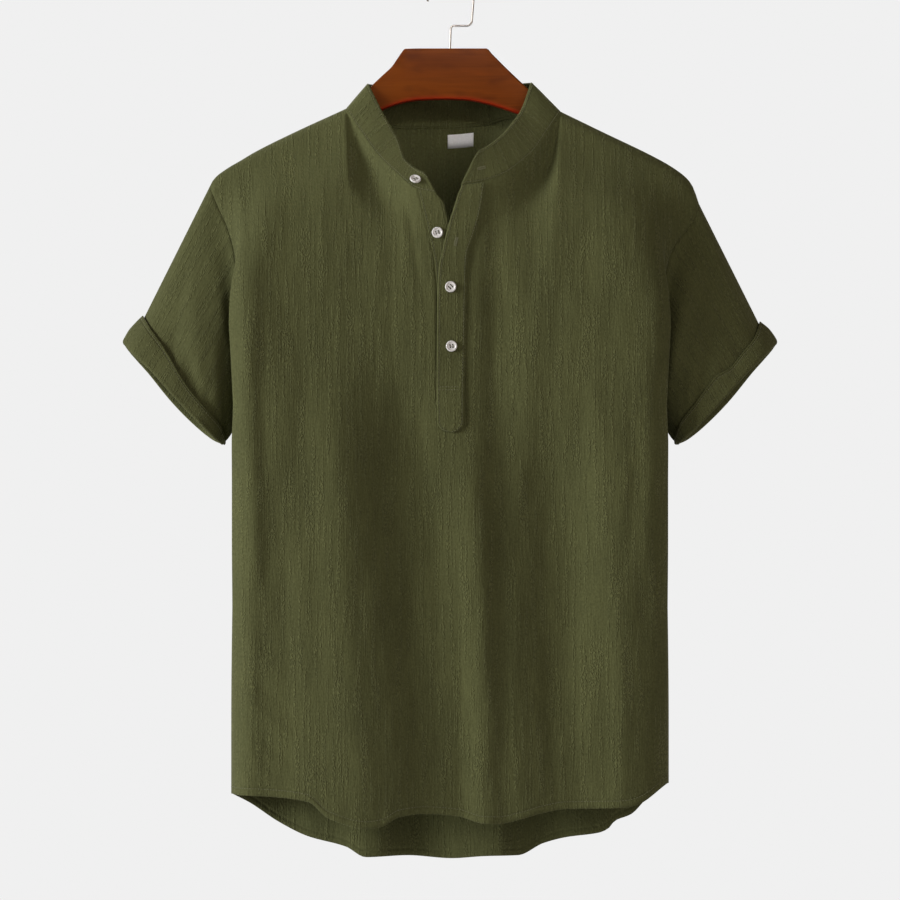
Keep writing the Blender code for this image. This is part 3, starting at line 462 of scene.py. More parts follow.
def panel_points(panel, column, levels):
    """The column's true places in metres."""
    x, depth, drop = panel_column(panel, *column, levels)
    return true_place(x, panel["facing"] * depth, drop)


FRONT = {
    "facing": 1, "fall": FRONT_FALL, "body": FRONT_BODY, "folds": FRONT_FOLDS,
    "hem": FRONT_HEM, "neck": FRONT_NECK, "slit": True,
}
BACK = {
    "facing": -1, "fall": BACK_FALL, "body": BACK_BODY, "folds": BACK_FOLDS,
    "hem": BACK_HEM, "neck": {-1: BACK_NECK, 1: BACK_NECK}, "slit": False,
}


# What only the dressed model has. The cloth is shown as a thin shell on the solids' form.
SHELL = 1.0
RIM_ROUND = 0.3
# Levels run from 0 to 1 over the shoulder's roll, to 2 at the underarm and to 3 at the hem.
FALL_FINE = np.concatenate([np.linspace(0, 1, 12), np.linspace(1, 2, 76)[1:]])
BODY_FINE = np.linspace(2, 3, 104)[1:]
FINE_LEVELS = np.concatenate([FALL_FINE, BODY_FINE])
FINE_ACROSS = np.linspace(1.0, NECK_ACROSS, 45)[:-1]
FINE_SHARES = np.linspace(0.0, 1.0, 30)
FINE_SLIT_CELLS = 8
BACK_NECK_COLUMNS = 57
SLEEVE_STEPS = 46
# The hems' turned edge, how much it is raised, and over what length it ends.
HEM_TURN = 7.0
HEM_RAISED = 0.5
HEM_FADE = 1.5
# How far from the upper placket the creases are whole again, and from where across a panel they fade.
CREASES_BESIDE_SLIT = 7.0
SIDE_KEPT = 0.9
# Uneven swelling of the panels: lean, cell across, cell down, height.
PANEL_SWELLING = ((0.06, 13.0, 58.0, 0.55), (-0.04, 5.5, 21.0, 0.28))
FRONT_SEED = 3
BACK_SEED = 11
# Uneven swelling of the sleeves: cell round, cell along, height, seed.
SLEEVE_SWELLING = ((17.0, 30.0, 0.45, 20), (8.0, 12.0, 0.25, 30))
# The turned-up end: its length outside, where its part inside starts along the cloth, and that part.
CUFF_OUTSIDE = 24.0
CUFF_INSIDE_START = 31.0
CUFF_INSIDE = 22.0
# The band: its cloth's height, the share where its ends are, and the one from which they are rounded.
BAND_HEIGHT = 30.0
BAND_CELLS = 15
BAND_END_SHARE = 1.2
BAND_ROUNDED_FROM = 1.08
BAND_ROUNDING = 0.24
# Across the upper placket the free edge stands higher, below the tab's seam it lies lower.
PLACKET_CELLS = 15
UNDER_PLACKET_CELLS = 12
PLACKET_LEAN = 1.8
TAB_LEAN = -0.8
TAB_SEAM_DROP = 418.0
TAB_PUCKER = 1.0
# Buttonholes of the band and of the placket, and a place in the tab's seam: x, depth, drop.
BAND_HOLE = (33.0, 60.0, 200.0)
PLACKET_HOLE = (6.6, 62.0, 274.5)
TAB_SEAM = (0.0, 62.0, TAB_SEAM_DROP)
BUTTONHOLE_LENGTH = 7.0
BUTTONHOLE_SPACING = 0.55
# What lies clear of a sewn edge has this distance to it.
NO_EDGE = 9.0

# Creases of the front, each a soft ridge or trough from one end to the other:
# x and drop of one end, x and drop of the other, spread to the left and to the right, height.
FRONT_CREASES = (
    (-213, 196, -209, 345, 3.5, 6, 1.6),
    (-203, 215, -200, 300, 5, 5, -1.0),
    (-186, 190, -183, 340, 7, 6, 0.7),
    (-160, 180, -160, 300, 7, 9, -0.8),
    (-131, 172, -124, 335, 8, 6, 0.9),
    (-108, 170, -98, 300, 6, 8, -0.9),
    (-84, 195, -68, 380, 8, 8, 0.8),
    (-53, 218, -33, 352, 3.5, 3, 0.8),
    (-45, 222, -27, 330, 2.2, 2.4, -0.9),
    (-39, 226, -21, 322, 2.2, 2.0, 0.9),
    (-18, 305, -17, 442, 4.5, 2.5, -1.5),
    (41, 222, 28, 266, 5, 7, -1.8),
    (27, 262, 18, 308, 4, 5, -1.4),
    (-60, 300, -48, 470, 9, 7, -0.8),
    (-118, 340, -124, 520, 9, 9, -0.9),
    (-152, 330, -158, 500, 8, 9, 0.9),
    (-150, 330, -144, 600, 17, 18, -4.0),
    (-190, 350, -186, 520, 7, 9, -1.1),
    (40, 222, 42, 300, 4, 7, -1.3),
    (62, 214, 58, 330, 6, 6, 0.8),
    (84, 200, 80, 372, 8, 7, -0.8),
    (108, 176, 104, 330, 7, 9, 0.9),
    (136, 180, 140, 350, 8, 7, -0.9),
    (166, 190, 168, 330, 8, 8, 0.8),
    (194, 200, 192, 370, 7, 7, -0.9),
    (210, 250, 207, 440, 5, 7, 1.0),
    (52, 330, 44, 520, 9, 8, 0.8),
    (98, 360, 104, 560, 9, 10, -0.9),
    (150, 390, 146, 560, 10, 8, 0.9),
    (182, 420, 180, 640, 7, 8, -0.9),
    (-197, 455, -192, 660, 7, 9, 1.6),
    (-168, 500, -158, 830, 10, 9, -1.8),
    (-140, 520, -128, 700, 8, 6, -0.9),
    (-116, 560, -85, 850, 16, 12, 1.2),
    (-70, 610, -52, 840, 7, 8, 0.7),
    (-40, 560, -30, 830, 9, 9, -1.0),
    (-14, 600, -4, 840, 7, 9, 0.9),
    (34, 520, 49, 850, 16, 12, 1.2),
    (-58, 440, -44, 760, 24, 18, -2.8),
    (106, 440, 112, 780, 38, 28, -6.0),
    (-116, 420, -106, 640, 12, 14, 1.6),
    (66, 600, 64, 840, 7, 7, 0.8),
    (98, 640, 104, 850, 8, 9, -1.2),
    (137, 570, 141, 850, 12, 8, 1.3),
    (156, 600, 156, 830, 6, 6, -0.9),
    (170, 620, 172, 830, 6, 7, 1.1),
    (196, 560, 198, 820, 8, 7, -1.2),
    (-215, 664, -174, 704, 5, 5, 0.8),
    (-215, 694, -160, 744, 5, 6, -1.0),
    (-214, 722, -150, 780, 6, 5, 1.0),
    (-212, 752, -146, 806, 5, 6, -0.9),
    (-206, 786, -170, 822, 5, 5, 0.8),
)
BACK_CREASES = (
    (-196, 210, -192, 350, 6, 8, -1.1),
    (-166, 190, -158, 390, 9, 7, 1.0),
    (-120, 180, -128, 330, 8, 9, -0.9),
    (-82, 190, -90, 420, 9, 8, 0.9),
    (-40, 200, -32, 360, 8, 9, -0.8),
    (8, 190, 2, 400, 9, 10, 0.8),
    (52, 200, 60, 370, 8, 8, -0.9),
    (96, 180, 90, 340, 8, 9, 0.9),
    (138, 190, 146, 420, 9, 8, -1.0),
    (178, 210, 172, 380, 7, 8, 0.9),
    (-150, 420, -160, 840, 16, 6, 2.0),
    (-118, 480, -112, 760, 8, 9, -1.1),
    (-60, 430, -66, 700, 9, 8, 1.0),
    (-28, 520, -24, 870, 8, 16, 2.2),
    (12, 560, 20, 860, 9, 9, -1.2),
    (70, 500, 66, 780, 8, 9, 0.9),
    (100, 440, 106, 850, 16, 7, 2.0),
    (132, 560, 128, 820, 8, 8, -1.1),
    (176, 480, 180, 800, 9, 8, 1.2),
    (-196, 500, -190, 800, 8, 9, -1.3),
    (150, 700, 204, 760, 6, 6, 0.8),
    (146, 736, 206, 800, 6, 6, -0.9),
)
# Creases of a sleeve: how far round from its top fold and how far along it they start and end, as
# shares, then spread and height. The wearer's right sleeve comes first.
SLEEVE_SPAN = (230.0, 105.0)
SLEEVE_CREASES = {
    (-1, 1): (
        (0.10, 0.11, 0.97, 0.16, 9, 14, -2.6),
        (0.08, 0.36, 0.50, 0.66, 12, 12, 1.6),
        (0.04, 0.74, 0.80, 0.80, 9, 7, -2.4),
        (0.02, 0.10, 0.34, 0.98, 7, 8, -1.2),
        (0.55, 0.30, 0.98, 0.72, 10, 10, -2.2),
        (0.45, 0.62, 0.80, 1.02, 8, 8, 1.3),
        (0.70, 0.70, 0.99, 0.98, 7, 7, -1.4),
    ),
    (1, 1): (
        (0.10, 0.06, 0.97, 0.12, 8, 8, -2.6),
        (0.12, 0.24, 0.95, 0.40, 11, 11, 4.4),
        (0.06, 0.60, 0.66, 0.72, 12, 10, -3.4),
        (0.06, 0.55, 0.70, 0.98, 10, 11, 1.2),
        (0.40, 0.60, 0.98, 0.80, 7, 8, 1.4),
        (0.66, 0.62, 0.99, 0.98, 6, 7, -1.8),
    ),
    (-1, -1): (
        (0.12, 0.14, 0.94, 0.20, 10, 12, -2.6),
        (0.10, 0.40, 0.72, 0.92, 12, 10, 1.6),
        (0.55, 0.34, 0.97, 0.70, 9, 9, -1.6),
    ),
    (1, -1): (
        (0.10, 0.16, 0.90, 0.24, 11, 11, -2.4),
        (0.14, 0.44, 0.70, 0.96, 11, 12, 1.5),
        (0.60, 0.40, 0.97, 0.76, 9, 8, -1.5),
    ),
}

# Sewing threads, and how far from an edge they run.
STITCH_INSET = 2.0
CUFF_STITCH_INSET = 3.0
STITCH_PITCH = 2.9
STITCH_LENGTH = 2.1
STITCH_RADIUS = 0.27
STITCH_SIDES = 5

# A button's half section from the middle of its back to the middle of its dished face: radius, height.
BUTTON_SECTION = (
    (0.0, 0.0), (4.5, 0.0), (5.05, 0.25), (5.4, 0.7), (5.5, 1.15), (5.45, 1.7), (5.2, 2.15), (4.85, 2.38),
    (4.5, 2.4), (4.15, 2.28), (3.85, 2.0), (3.55, 1.78), (3.1, 1.7), (1.6, 1.66), (0.0, 1.66),
)
BUTTON_FINE_SIDES = 48
HOLE_RADIUS = 0.75
HOLE_PLACE = 1.35
# A button's thread from hole to hole: share of the hole's place, and height over the face.
THREAD_PATH = (
    (1.0, -1.5), (0.98, -0.5), (0.86, 0.12), (0.5, 0.36), (0, 0.42),
    (-0.5, 0.36), (-0.86, 0.12), (-0.98, -0.5), (-1.0, -1.5),
)
THREAD_LANES = (-0.28, 0.0, 0.28)
THREAD_RADIUS = 0.17

# The cloth's colour runs between OLIVE_DARK and OLIVE_LIGHT: darker in the relief's low parts as painted
# shade, and varying at random in tone.
OLIVE_DARK = (0.041, 0.045, 0.0155)
OLIVE_LIGHT = (0.093, 0.100, 0.037)
THREAD_DARK = (0.060, 0.064, 0.024)
THREAD_LIGHT = (0.115, 0.121, 0.050)
BUTTON_THREAD_DARK = (0.035, 0.038, 0.014)
BUTTON_THREAD_LIGHT = (0.075, 0.080, 0.032)

PHOTO_LENS = 120.0
SENSOR = 36.0
WORLD_SEEN = (0.871, 0.871, 0.871)
WORLD_LIGHT = (0.225, 0.188, 0.162)
FLOOR = -1.5
FLOOR_REACH = 3
# Name, place, aim, size, power, colour and spread in degrees.
LIGHTS = (
    ("key", (-10.15, -3.8, 1.5), (0.0, 0.0, -0.45), 3.6, 1570.0, (1.0, 0.99, 0.95), 180.0),
    ("fill", (1.4, -2.9, 0.3), (0.0, 0.0, -0.4), 1.6, 25.0, (1.0, 0.88, 0.80), 180.0),
    ("rim", (-0.4, 1.6, 0.9), (0.0, 0.0, -0.3), 1.0, 16.0, (1.0, 1.0, 1.0), 180.0),
    ("neck", (0.0, -1.1, 0.34), (0.01, 0.09, -0.12), 0.1, 0.085, (1.0, 0.95, 0.92), 24.0),
)


def crease_depth(creases, across, down):
    """How far the creases raise the cloth at the places across and down."""
    total = np.zeros(np.broadcast(across, down).shape)
    for x0, d0, x1, d1, left, right, height in creases:
        length = np.hypot(x1 - x0, d1 - d0)
        ux, ud = (x1 - x0) / length, (d1 - d0) / length
        along = ((across - x0) * ux + (down - d0) * ud) / length
        aside = (across - x0) * ud - (down - d0) * ux
        spread = np.where(aside < 0, left, right)
        fade = np.sin(np.pi * np.clip(along, 0, 1)) ** 0.8
        total = total + height * np.exp(-((aside / spread) ** 2)) * fade
    return total


def crumple(across, down, cell_across, cell_down, seed):
    """Smooth uneven swelling between -1 and 1, in cells of the given size."""
    grid = np.random.default_rng(seed).uniform(-1, 1, (64, 64))
    a, d = across / cell_across + 500.0, down / cell_down + 500.0
    i, j = np.floor(a).astype(int), np.floor(d).astype(int)
    s, t = ease(a - i), ease(d - j)
    corner = [grid[(i + m) % 64, (j + n) % 64] for m in (0, 1) for n in (0, 1)]
    near = corner[0] * (1 - t) + corner[1] * t
    far = corner[2] * (1 - t) + corner[3] * t
    return near * (1 - s) + far * s


def fine_relief(creases, x, drop, seed):
    """Everything that is finer than the hanging folds of the solids."""
    total = crease_depth(creases, x, drop)
    for number, (lean, cell_across, cell_down, height) in enumerate(PANEL_SWELLING):
        total = total + height * crumple(x + lean * drop, drop, cell_across, cell_down, seed + number)
    return total


def creased_column(panel, creases, seed, across, side, share, levels):
    """A panel's column in picture places with the fine relief in it, and its distance to the hem."""
    x, depth, drop = panel_column(panel, across, side, share, levels)
    loose = ease((drop - drop[0]) / FLAT_BELOW_SEAM) * (1 - ease((across - SIDE_KEPT) / (1 - SIDE_KEPT)))
    if panel["slit"]:
        drops, xs = zip(*SLIT[side])
        placket = np.abs(smooth_line(np.clip(drop, drops[0], drops[-1]), drops, xs)) + PLACKET_LAP + 1.0
        below_tab = ease((drop - TAB_DROP - 1.0) / CREASES_BESIDE_SLIT)
        loose = loose * np.maximum(ease((np.abs(x) - placket) / CREASES_BESIDE_SLIT), below_tab)
    to_hem = drop[-1] - drop
    hem = HEM_RAISED * (1 - ease((to_hem - HEM_TURN) / HEM_FADE))
    return x, depth + fine_relief(creases, x, drop, seed) * loose + hem, drop, to_hem


def creased_panel(panel, creases, seed, columns, levels):
    """A panel's true places, its grain and its distance to the hem, a row for each level."""
    rows = [creased_column(panel, creases, seed, *column, levels) for column in columns]
    x, depth, drop, to_hem = (np.stack(part, axis=1) for part in zip(*rows))
    return true_place(x, panel["facing"] * depth, drop), np.stack([x, drop], axis=-1) * MM, to_hem


def grid_faces(rows, columns, closed=False, skip=()):
    """Four-cornered faces over a grid of points, row by row."""
    faces = []
    for row in range(rows - 1):
        for column in range(columns if closed else columns - 1):
            if (row, column) in skip:
                continue
            after = (column + 1) % columns
            here, below = row * columns, (row + 1) * columns
            faces.append((here + column, below + column, below + after, here + after))
    return faces


def corner_normals(points, faces):
    """A unit normal at each point, from the faces round it."""
    corners = np.array(faces)
    a, b, c, d = (points[corners[:, i]] for i in range(4))
    across = np.cross(c - a, d - b)
    normals = np.zeros_like(points)
    for i in range(4):
        np.add.at(normals, corners[:, i], across)
    return normals / np.maximum(np.linalg.norm(normals, axis=1), 1e-12)[:, None]


class Sheet:
    """One piece of cloth: a grid of its outer surface, which becomes a thin wall with rounded edges."""

    def __init__(self, name, points, grain, edge, closed=False, skip=(), wall=SHELL, flip=False):
        self.name = name
        self.rows, self.columns = points.shape[:2]
        faces = grid_faces(self.rows, self.columns, closed, skip)
        self.faces = [face[::-1] for face in faces] if flip else faces
        self.points = points.reshape(-1, 3)
        self.grain = grain.reshape(-1, 2)
        self.edge = np.asarray(edge, float).reshape(-1)
        self.wall = wall * MM
        self.normals = corner_normals(self.points, self.faces)

    def moved_out(self, distance):
        """The same piece moved out along its normals by a distance, or by one for each point."""
        distance = np.broadcast_to(np.reshape(distance, -1), len(self.points))
        self.points = self.points + self.normals * distance[:, None] * MM
        self.normals = corner_normals(self.points, self.faces)
        return self

    def as_grid(self, values):
        return values.reshape(self.rows, self.columns, -1)

    def line(self, first, last, inset, by_column=False):
        """A line a little inside the piece's edge at row first, towards row last, with its normals."""
        points, normals = self.as_grid(self.points), self.as_grid(self.normals)
        if by_column:
            points, normals = points.transpose(1, 0, 2), normals.transpose(1, 0, 2)
        step = 1 if last > first else -1
        order = list(range(first, last + step, step))
        path, out = [], []
        for i in range(points.shape[1]):
            column = points[order, i]
            gone = np.concatenate([[0], np.cumsum(np.linalg.norm(np.diff(column, axis=0), axis=1))])
            path.append([np.interp(inset * MM, gone, column[:, k]) for k in range(3)])
            out.append([np.interp(inset * MM, gone, normals[order, i, k]) for k in range(3)])
        return np.array(path), np.array(out)

    def build(self, material):
        """Makes the wall: the outer surface, the inner one and the rounded rims."""
        sides = {}
        for face in self.faces:
            for start, end in zip(face, face[1:] + face[:1]):
                if (end, start) in sides:
                    del sides[(end, start)]
                else:
                    sides[(start, end)] = face
        inward = np.zeros_like(self.points)
        for (start, end), face in sides.items():
            along = self.points[end] - self.points[start]
            to_middle = self.points[list(face)].mean(axis=0) - self.points[start]
            across = to_middle - along * (to_middle @ along) / (along @ along)
            across = across / np.linalg.norm(across)
            for corner in (start, end):
                known = inward[corner]
                inward[corner] = known + across * (1 - known @ across / max(known @ known, 1.0))
        outer = self.points + inward * SEAM_GAP / 2 * MM
        inner = outer - self.normals * self.wall
        count = len(outer)
        faces = self.faces + [tuple(i + count for i in face[::-1]) for face in self.faces]
        rim = sorted({corner for edge in sides for corner in edge})
        place = {corner: 2 * count + i for i, corner in enumerate(rim)}
        middle = (outer[rim] + inner[rim]) / 2 - inward[rim] * RIM_ROUND * self.wall
        for start, end in sides:
            faces.append((end, start, place[start], place[end]))
            faces.append((place[end], place[start], start + count, end + count))
        points = np.concatenate([outer, inner, middle])
        grain = np.concatenate([self.grain, self.grain, self.grain[rim]])
        edge = np.concatenate([self.edge, self.edge, self.edge[rim]])
        return add_mesh(self.name, points, faces, material, grain, edge)


def add_mesh(name, points, faces, material, grain=None, edge=None):
    """A smooth mesh object, with its grain as a UV map and its distance to a sewn edge."""
    used = sorted({i for face in faces for i in face})
    place = {old: new for new, old in enumerate(used)}
    mesh = bpy.data.meshes.new(name)
    mesh.from_pydata([tuple(p) for p in np.asarray(points)[used]], [], [[place[i] for i in f] for f in faces])
    mesh.materials.append(material)
    mesh.polygons.foreach_set("use_smooth", [True] * len(mesh.polygons))
    if grain is not None:
        corners = np.zeros(len(mesh.loops), int)
        mesh.loops.foreach_get("vertex_index", corners)
        mesh.uv_layers.new(name="Grain").data.foreach_set("uv", grain[used][corners].ravel())
        mesh.attributes.new("edge", "FLOAT", "POINT").data.foreach_set("value", edge[used])
    thing = bpy.data.objects.new(name, mesh)
    bpy.context.scene.collection.objects.link(thing)
    return thing


def show(thing, slot, *nodes):
    """Lets a piece ride on the one body and take the place of CAD nodes; slot is not used."""
    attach(thing, "root")
    if nodes:
        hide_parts(*nodes)
    return thing


def as_one(forms):
    """The points and faces of several forms as those of one."""
    points, faces, start = [], [], 0
    for form_points, form_faces in forms:
        faces += [tuple(i + start for i in face) for face in form_faces]
        points.append(form_points)
        start += len(form_points)
    return np.concatenate(points), faces


def stitches(name, lines, material, slot, pitch=STITCH_PITCH, length=STITCH_LENGTH):
    """Small threads laid end to end along lines on the cloth."""
    turns = np.arange(STITCH_SIDES) * 2 * np.pi / STITCH_SIDES
    shape = []
    for at, wide in ((-0.5, 0.45), (-0.3, 1.0), (0.3, 1.0), (0.5, 0.45)):
        radius = wide * STITCH_RADIUS
        shape += [(at * length, np.cos(turn) * radius, np.sin(turn) * radius) for turn in turns]
    shape = np.array(shape)
    ring_faces = grid_faces(4, STITCH_SIDES, closed=True)
    ends = [tuple(range(STITCH_SIDES)), tuple(range(4 * STITCH_SIDES - 1, 3 * STITCH_SIDES - 1, -1))]
    threads = []
    for path, normals in lines:
        gone = np.concatenate([[0], np.cumsum(np.linalg.norm(np.diff(path, axis=0), axis=1))])
        places = np.arange(pitch / 2, gone[-1] / MM - pitch / 2, pitch) * MM
        for at in places:
            centre, ahead, out = (
                np.array([np.interp(s, gone, values[:, k]) for k in range(3)])
                for s, values in ((at, path), (at + 0.5 * MM, path), (at, normals))
            )
            along = ahead - centre
            along = along / np.linalg.norm(along)
            aside = np.cross(out, along)
            aside = aside / np.linalg.norm(aside)
            up = np.cross(along, aside)
            centre = centre + up * 0.08 * MM
            threads.append((centre + (shape @ np.array([along, aside, up])) * MM, ring_faces + ends))
    show(add_mesh(name, *as_one(threads), material), slot)


# Materials ------------------------------------------------------------------------------------


class Graph:
    """Builds a material's nodes with short calls."""

    def __init__(self, name):
        self.material = bpy.data.materials.new(name)
        self.material.use_nodes = True
        self.nodes = self.material.node_tree.nodes
        self.links = self.material.node_tree.links
        self.shader = self.nodes["Principled BSDF"]

    def add(self, kind, settings=(), **inputs):
        node = self.nodes.new(kind)
        for key, value in dict(settings).items():
            setattr(node, key, value)
        for key, value in inputs.items():
            self.put(node, key.replace("_", " "), value)
        return node

    def put(self, node, socket, value):
        target = node.inputs[int(socket)] if str(socket).isdigit() else node.inputs[socket]
        if isinstance(value, bpy.types.NodeSocket):
            self.links.new(value, target)
        else:
            target.default_value = value

    def math(self, operation, a, b=0.0, clamp=False):
        node = self.nodes.new("ShaderNodeMath")
        node.operation = operation
        node.use_clamp = clamp
        self.put(node, "0", a)
        self.put(node, "1", b)
        return node.outputs[0]

    def stretched(self, vector, scale):
        node = self.add("ShaderNodeVectorMath", {"operation": "MULTIPLY"})
        self.put(node, "0", vector)
        self.put(node, "1", scale)
        return node.outputs[0]

    def noise(self, vector, scale, detail=2.0, roughness=0.5, distortion=0.0):
        node = self.add(
            "ShaderNodeTexNoise", Vector=self.stretched(vector, scale), Scale=1.0,
            Detail=detail, Roughness=roughness, Distortion=distortion,
        )
        return node.outputs["Fac"]

    def ramp(self, value, *stops):
        node = self.nodes.new("ShaderNodeValToRGB")
        self.put(node, "Fac", value)
        ramp = node.color_ramp
        while len(ramp.elements) < len(stops):
            ramp.elements.new(0.5)
        for element, (position, colour) in zip(ramp.elements, stops):
            element.position = position
            element.color = (*colour, 1.0) if hasattr(colour, "__len__") else (colour, colour, colour, 1.0)
        return node.outputs["Color"]

    def mix(self, amount, first, second):
        node = self.nodes.new("ShaderNodeMix")
        node.data_type = "RGBA"
        self.put(node, "0", amount)
        self.put(node, "6", first)
        self.put(node, "7", second)
        return node.outputs[2]

    def bump(self, height, distance):
        return self.add("ShaderNodeBump", Height=height, Distance=distance, Strength=1.0).outputs["Normal"]

    def finish(self, **inputs):
        for key, value in inputs.items():
            self.put(self.shader, key.replace("_", " "), value)
        return self.material


def cloth_material(name, dark, light, stitch_at):
    """Crinkled slub cloth: fine ribs, upright chains of small beads, and a groove where it is stitched. Its
    colour has painted shade in the relief's low parts and a tone that varies at random.
    """
    graph = Graph(name)
    grain = graph.add("ShaderNodeUVMap", {"uv_map": "Grain"}).outputs["UV"]
    ribs = graph.noise(grain, (640, 60, 1), 1.0)
    pebbles = graph.noise(grain, (560, 400, 1), 2.0, 0.6, 0.3)
    crinkle = graph.noise(grain, (130, 48, 1), 2.0, 0.5, 0.6)
    chains = graph.ramp(graph.noise(grain, (230, 12, 1), 2.0, 0.6), (0.50, 0.06), (0.60, 1.0))
    beads = graph.ramp(graph.noise(grain, (640, 340, 1), 1.0), (0.42, 0.0), (0.60, 1.0))
    slubs = graph.math("MULTIPLY", chains, beads)
    height = graph.math("MULTIPLY", slubs, 0.80)
    for wave, share in ((ribs, 0.34), (pebbles, 0.32), (crinkle, 0.36)):
        height = graph.math("ADD", height, graph.math("MULTIPLY", wave, share))
    edge = graph.add("ShaderNodeAttribute", {"attribute_name": "edge"}).outputs["Fac"]
    off_line = graph.math("ABSOLUTE", graph.math("SUBTRACT", edge, stitch_at))
    groove = graph.math("SUBTRACT", 1.0, graph.math("DIVIDE", off_line, 0.35), clamp=True)
    height = graph.math("SUBTRACT", height, graph.math("MULTIPLY", groove, 0.6))
    tone = graph.noise(grain, (26, 11, 1), 2.0)
    # Painted shade: the colour is darker where the pebbles, ribs and slubs leave the cloth low and lighter
    # where they raise it, with a tone that varies at random.
    painted_shade_and_tone = graph.math("MULTIPLY", pebbles, 0.4)
    for wave, share in ((ribs, 0.2), (tone, 0.2), (slubs, 0.2)):
        painted_shade_and_tone = graph.math("ADD", painted_shade_and_tone, graph.math("MULTIPLY", wave, share))
    return graph.finish(
        Base_Color=graph.ramp(painted_shade_and_tone, (0.25, dark), (0.70, light)),
        Roughness=graph.ramp(pebbles, (0.3, 0.95), (0.7, 0.8)),
        Normal=graph.bump(height, 0.0011),
        Specular_IOR_Level=0.2,
        Sheen_Weight=0.12,
        Sheen_Roughness=0.45,
        Sheen_Tint=(0.75, 0.8, 0.5, 1.0),
    )


def wood_material():
    """Brown lacquered wood with its grain along the board, and a painted red highlight along its lower
    rounded edge.
    """
    graph = Graph("lacquered_wood")
    place = graph.add("ShaderNodeTexCoord").outputs["Object"]
    warp = graph.noise(place, (9, 30, 26), 2.0)
    grain = graph.noise(place, (11, 60, 210), 4.0, 0.6, 1.0)
    pores = graph.noise(place, (120, 700, 1500), 2.0)
    cloud = graph.noise(place, (20, 10, 48), 2.0, 0.5)
    streak = graph.math("ADD", graph.math("MULTIPLY", grain, 0.4), graph.math("MULTIPLY", warp, 0.6))
    colour = graph.ramp(
        streak,
        (0.32, (0.071, 0.0150, 0.0016)),
        (0.5, (0.113, 0.0262, 0.0025)),
        (0.68, (0.142, 0.0370, 0.0034)),
    )
    colour = graph.mix(graph.ramp(cloud, (0.34, 0.5), (0.47, 0.0)), colour, (0.050, 0.009, 0.002, 1.0))
    # Painted highlight: within 4.5 mm of the board's lower edge the colour turns to a brighter red.
    edge = graph.add("ShaderNodeAttribute", {"attribute_name": "edge"}).outputs["Fac"]
    rim = graph.math("SUBTRACT", 1.0, graph.math("DIVIDE", edge, 4.5), clamp=True)
    colour = graph.mix(graph.math("MULTIPLY", rim, 0.9), colour, (0.22, 0.013, 0.004, 1.0))
    return graph.finish(
        Base_Color=colour,
        Roughness=graph.ramp(grain, (0.3, 0.34), (0.7, 0.46)),
        Normal=graph.bump(graph.math("ADD", grain, graph.math("MULTIPLY", pores, 0.4)), 0.00005),
        Specular_IOR_Level=0.04,
        Coat_Weight=0.02,
        Coat_Roughness=0.18,
    )


def wire_material():
    graph = Graph("bright_wire")
    place = graph.add("ShaderNodeTexCoord").outputs["Object"]
    draw = graph.noise(place, (2600, 2600, 320), 2.0)
    return graph.finish(
        Base_Color=graph.ramp(draw, (0.3, (0.20, 0.19, 0.18)), (0.7, (0.36, 0.34, 0.32))),
        Metallic=1.0,
        Roughness=graph.ramp(draw, (0.3, 0.28), (0.7, 0.40)),
        Normal=graph.bump(draw, 0.00002),
    )


def button_material():
    graph = Graph("off_white_button")
    place = graph.add("ShaderNodeTexCoord").outputs["Object"]
    cloud = graph.noise(place, (420, 420, 420), 3.0, 0.6, 1.0)
    return graph.finish(
        Base_Color=graph.ramp(cloud, (0.3, (0.42, 0.42, 0.43)), (0.7, (0.66, 0.66, 0.67))),
        Roughness=graph.ramp(cloud, (0.3, 0.22), (0.7, 0.36)),
        Normal=graph.bump(cloud, 0.00003),
        Coat_Weight=0.35,
        Coat_Roughness=0.1,
        Subsurface_Weight=0.06,
        Subsurface_Radius=(0.002, 0.0018, 0.0014),
    )


def thread_material(name, dark, light):
    graph = Graph(name)
    place = graph.add("ShaderNodeTexCoord").outputs["Object"]
    twist = graph.noise(place, (2400, 2400, 2400), 2.0)
    return graph.finish(
        Base_Color=graph.ramp(twist, (0.3, dark), (0.7, light)),
        Roughness=0.7,
        Normal=graph.bump(twist, 0.0001),
        Sheen_Weight=0.2,
    )


def label_material():
    """Close pale woven tape, left bare."""
    graph = Graph("woven_label")
    grain = graph.add("ShaderNodeUVMap", {"uv_map": "Grain"}).outputs["UV"]
    weft = graph.noise(grain, (260, 2600, 1), 1.0)
    warp = graph.noise(grain, (2600, 260, 1), 1.0)
    weave = graph.math("ADD", graph.math("MULTIPLY", weft, 0.5), graph.math("MULTIPLY", warp, 0.5))
    return graph.finish(
        Base_Color=graph.ramp(weave, (0.35, (0.66, 0.69, 0.72)), (0.62, (0.78, 0.81, 0.84))),
        Roughness=0.75,
        Normal=graph.bump(weave, 0.00025),
        Sheen_Weight=0.15,
    )


# Pieces ---------------------------------------------------------------------------------------


def front_columns(side):
    """The columns of a half of the front, from its side seam to the slit."""
    columns = [(across, side, 0.0) for across in FINE_ACROSS]
    return columns + [(NECK_ACROSS * (1 - share), side, share) for share in FINE_SHARES]


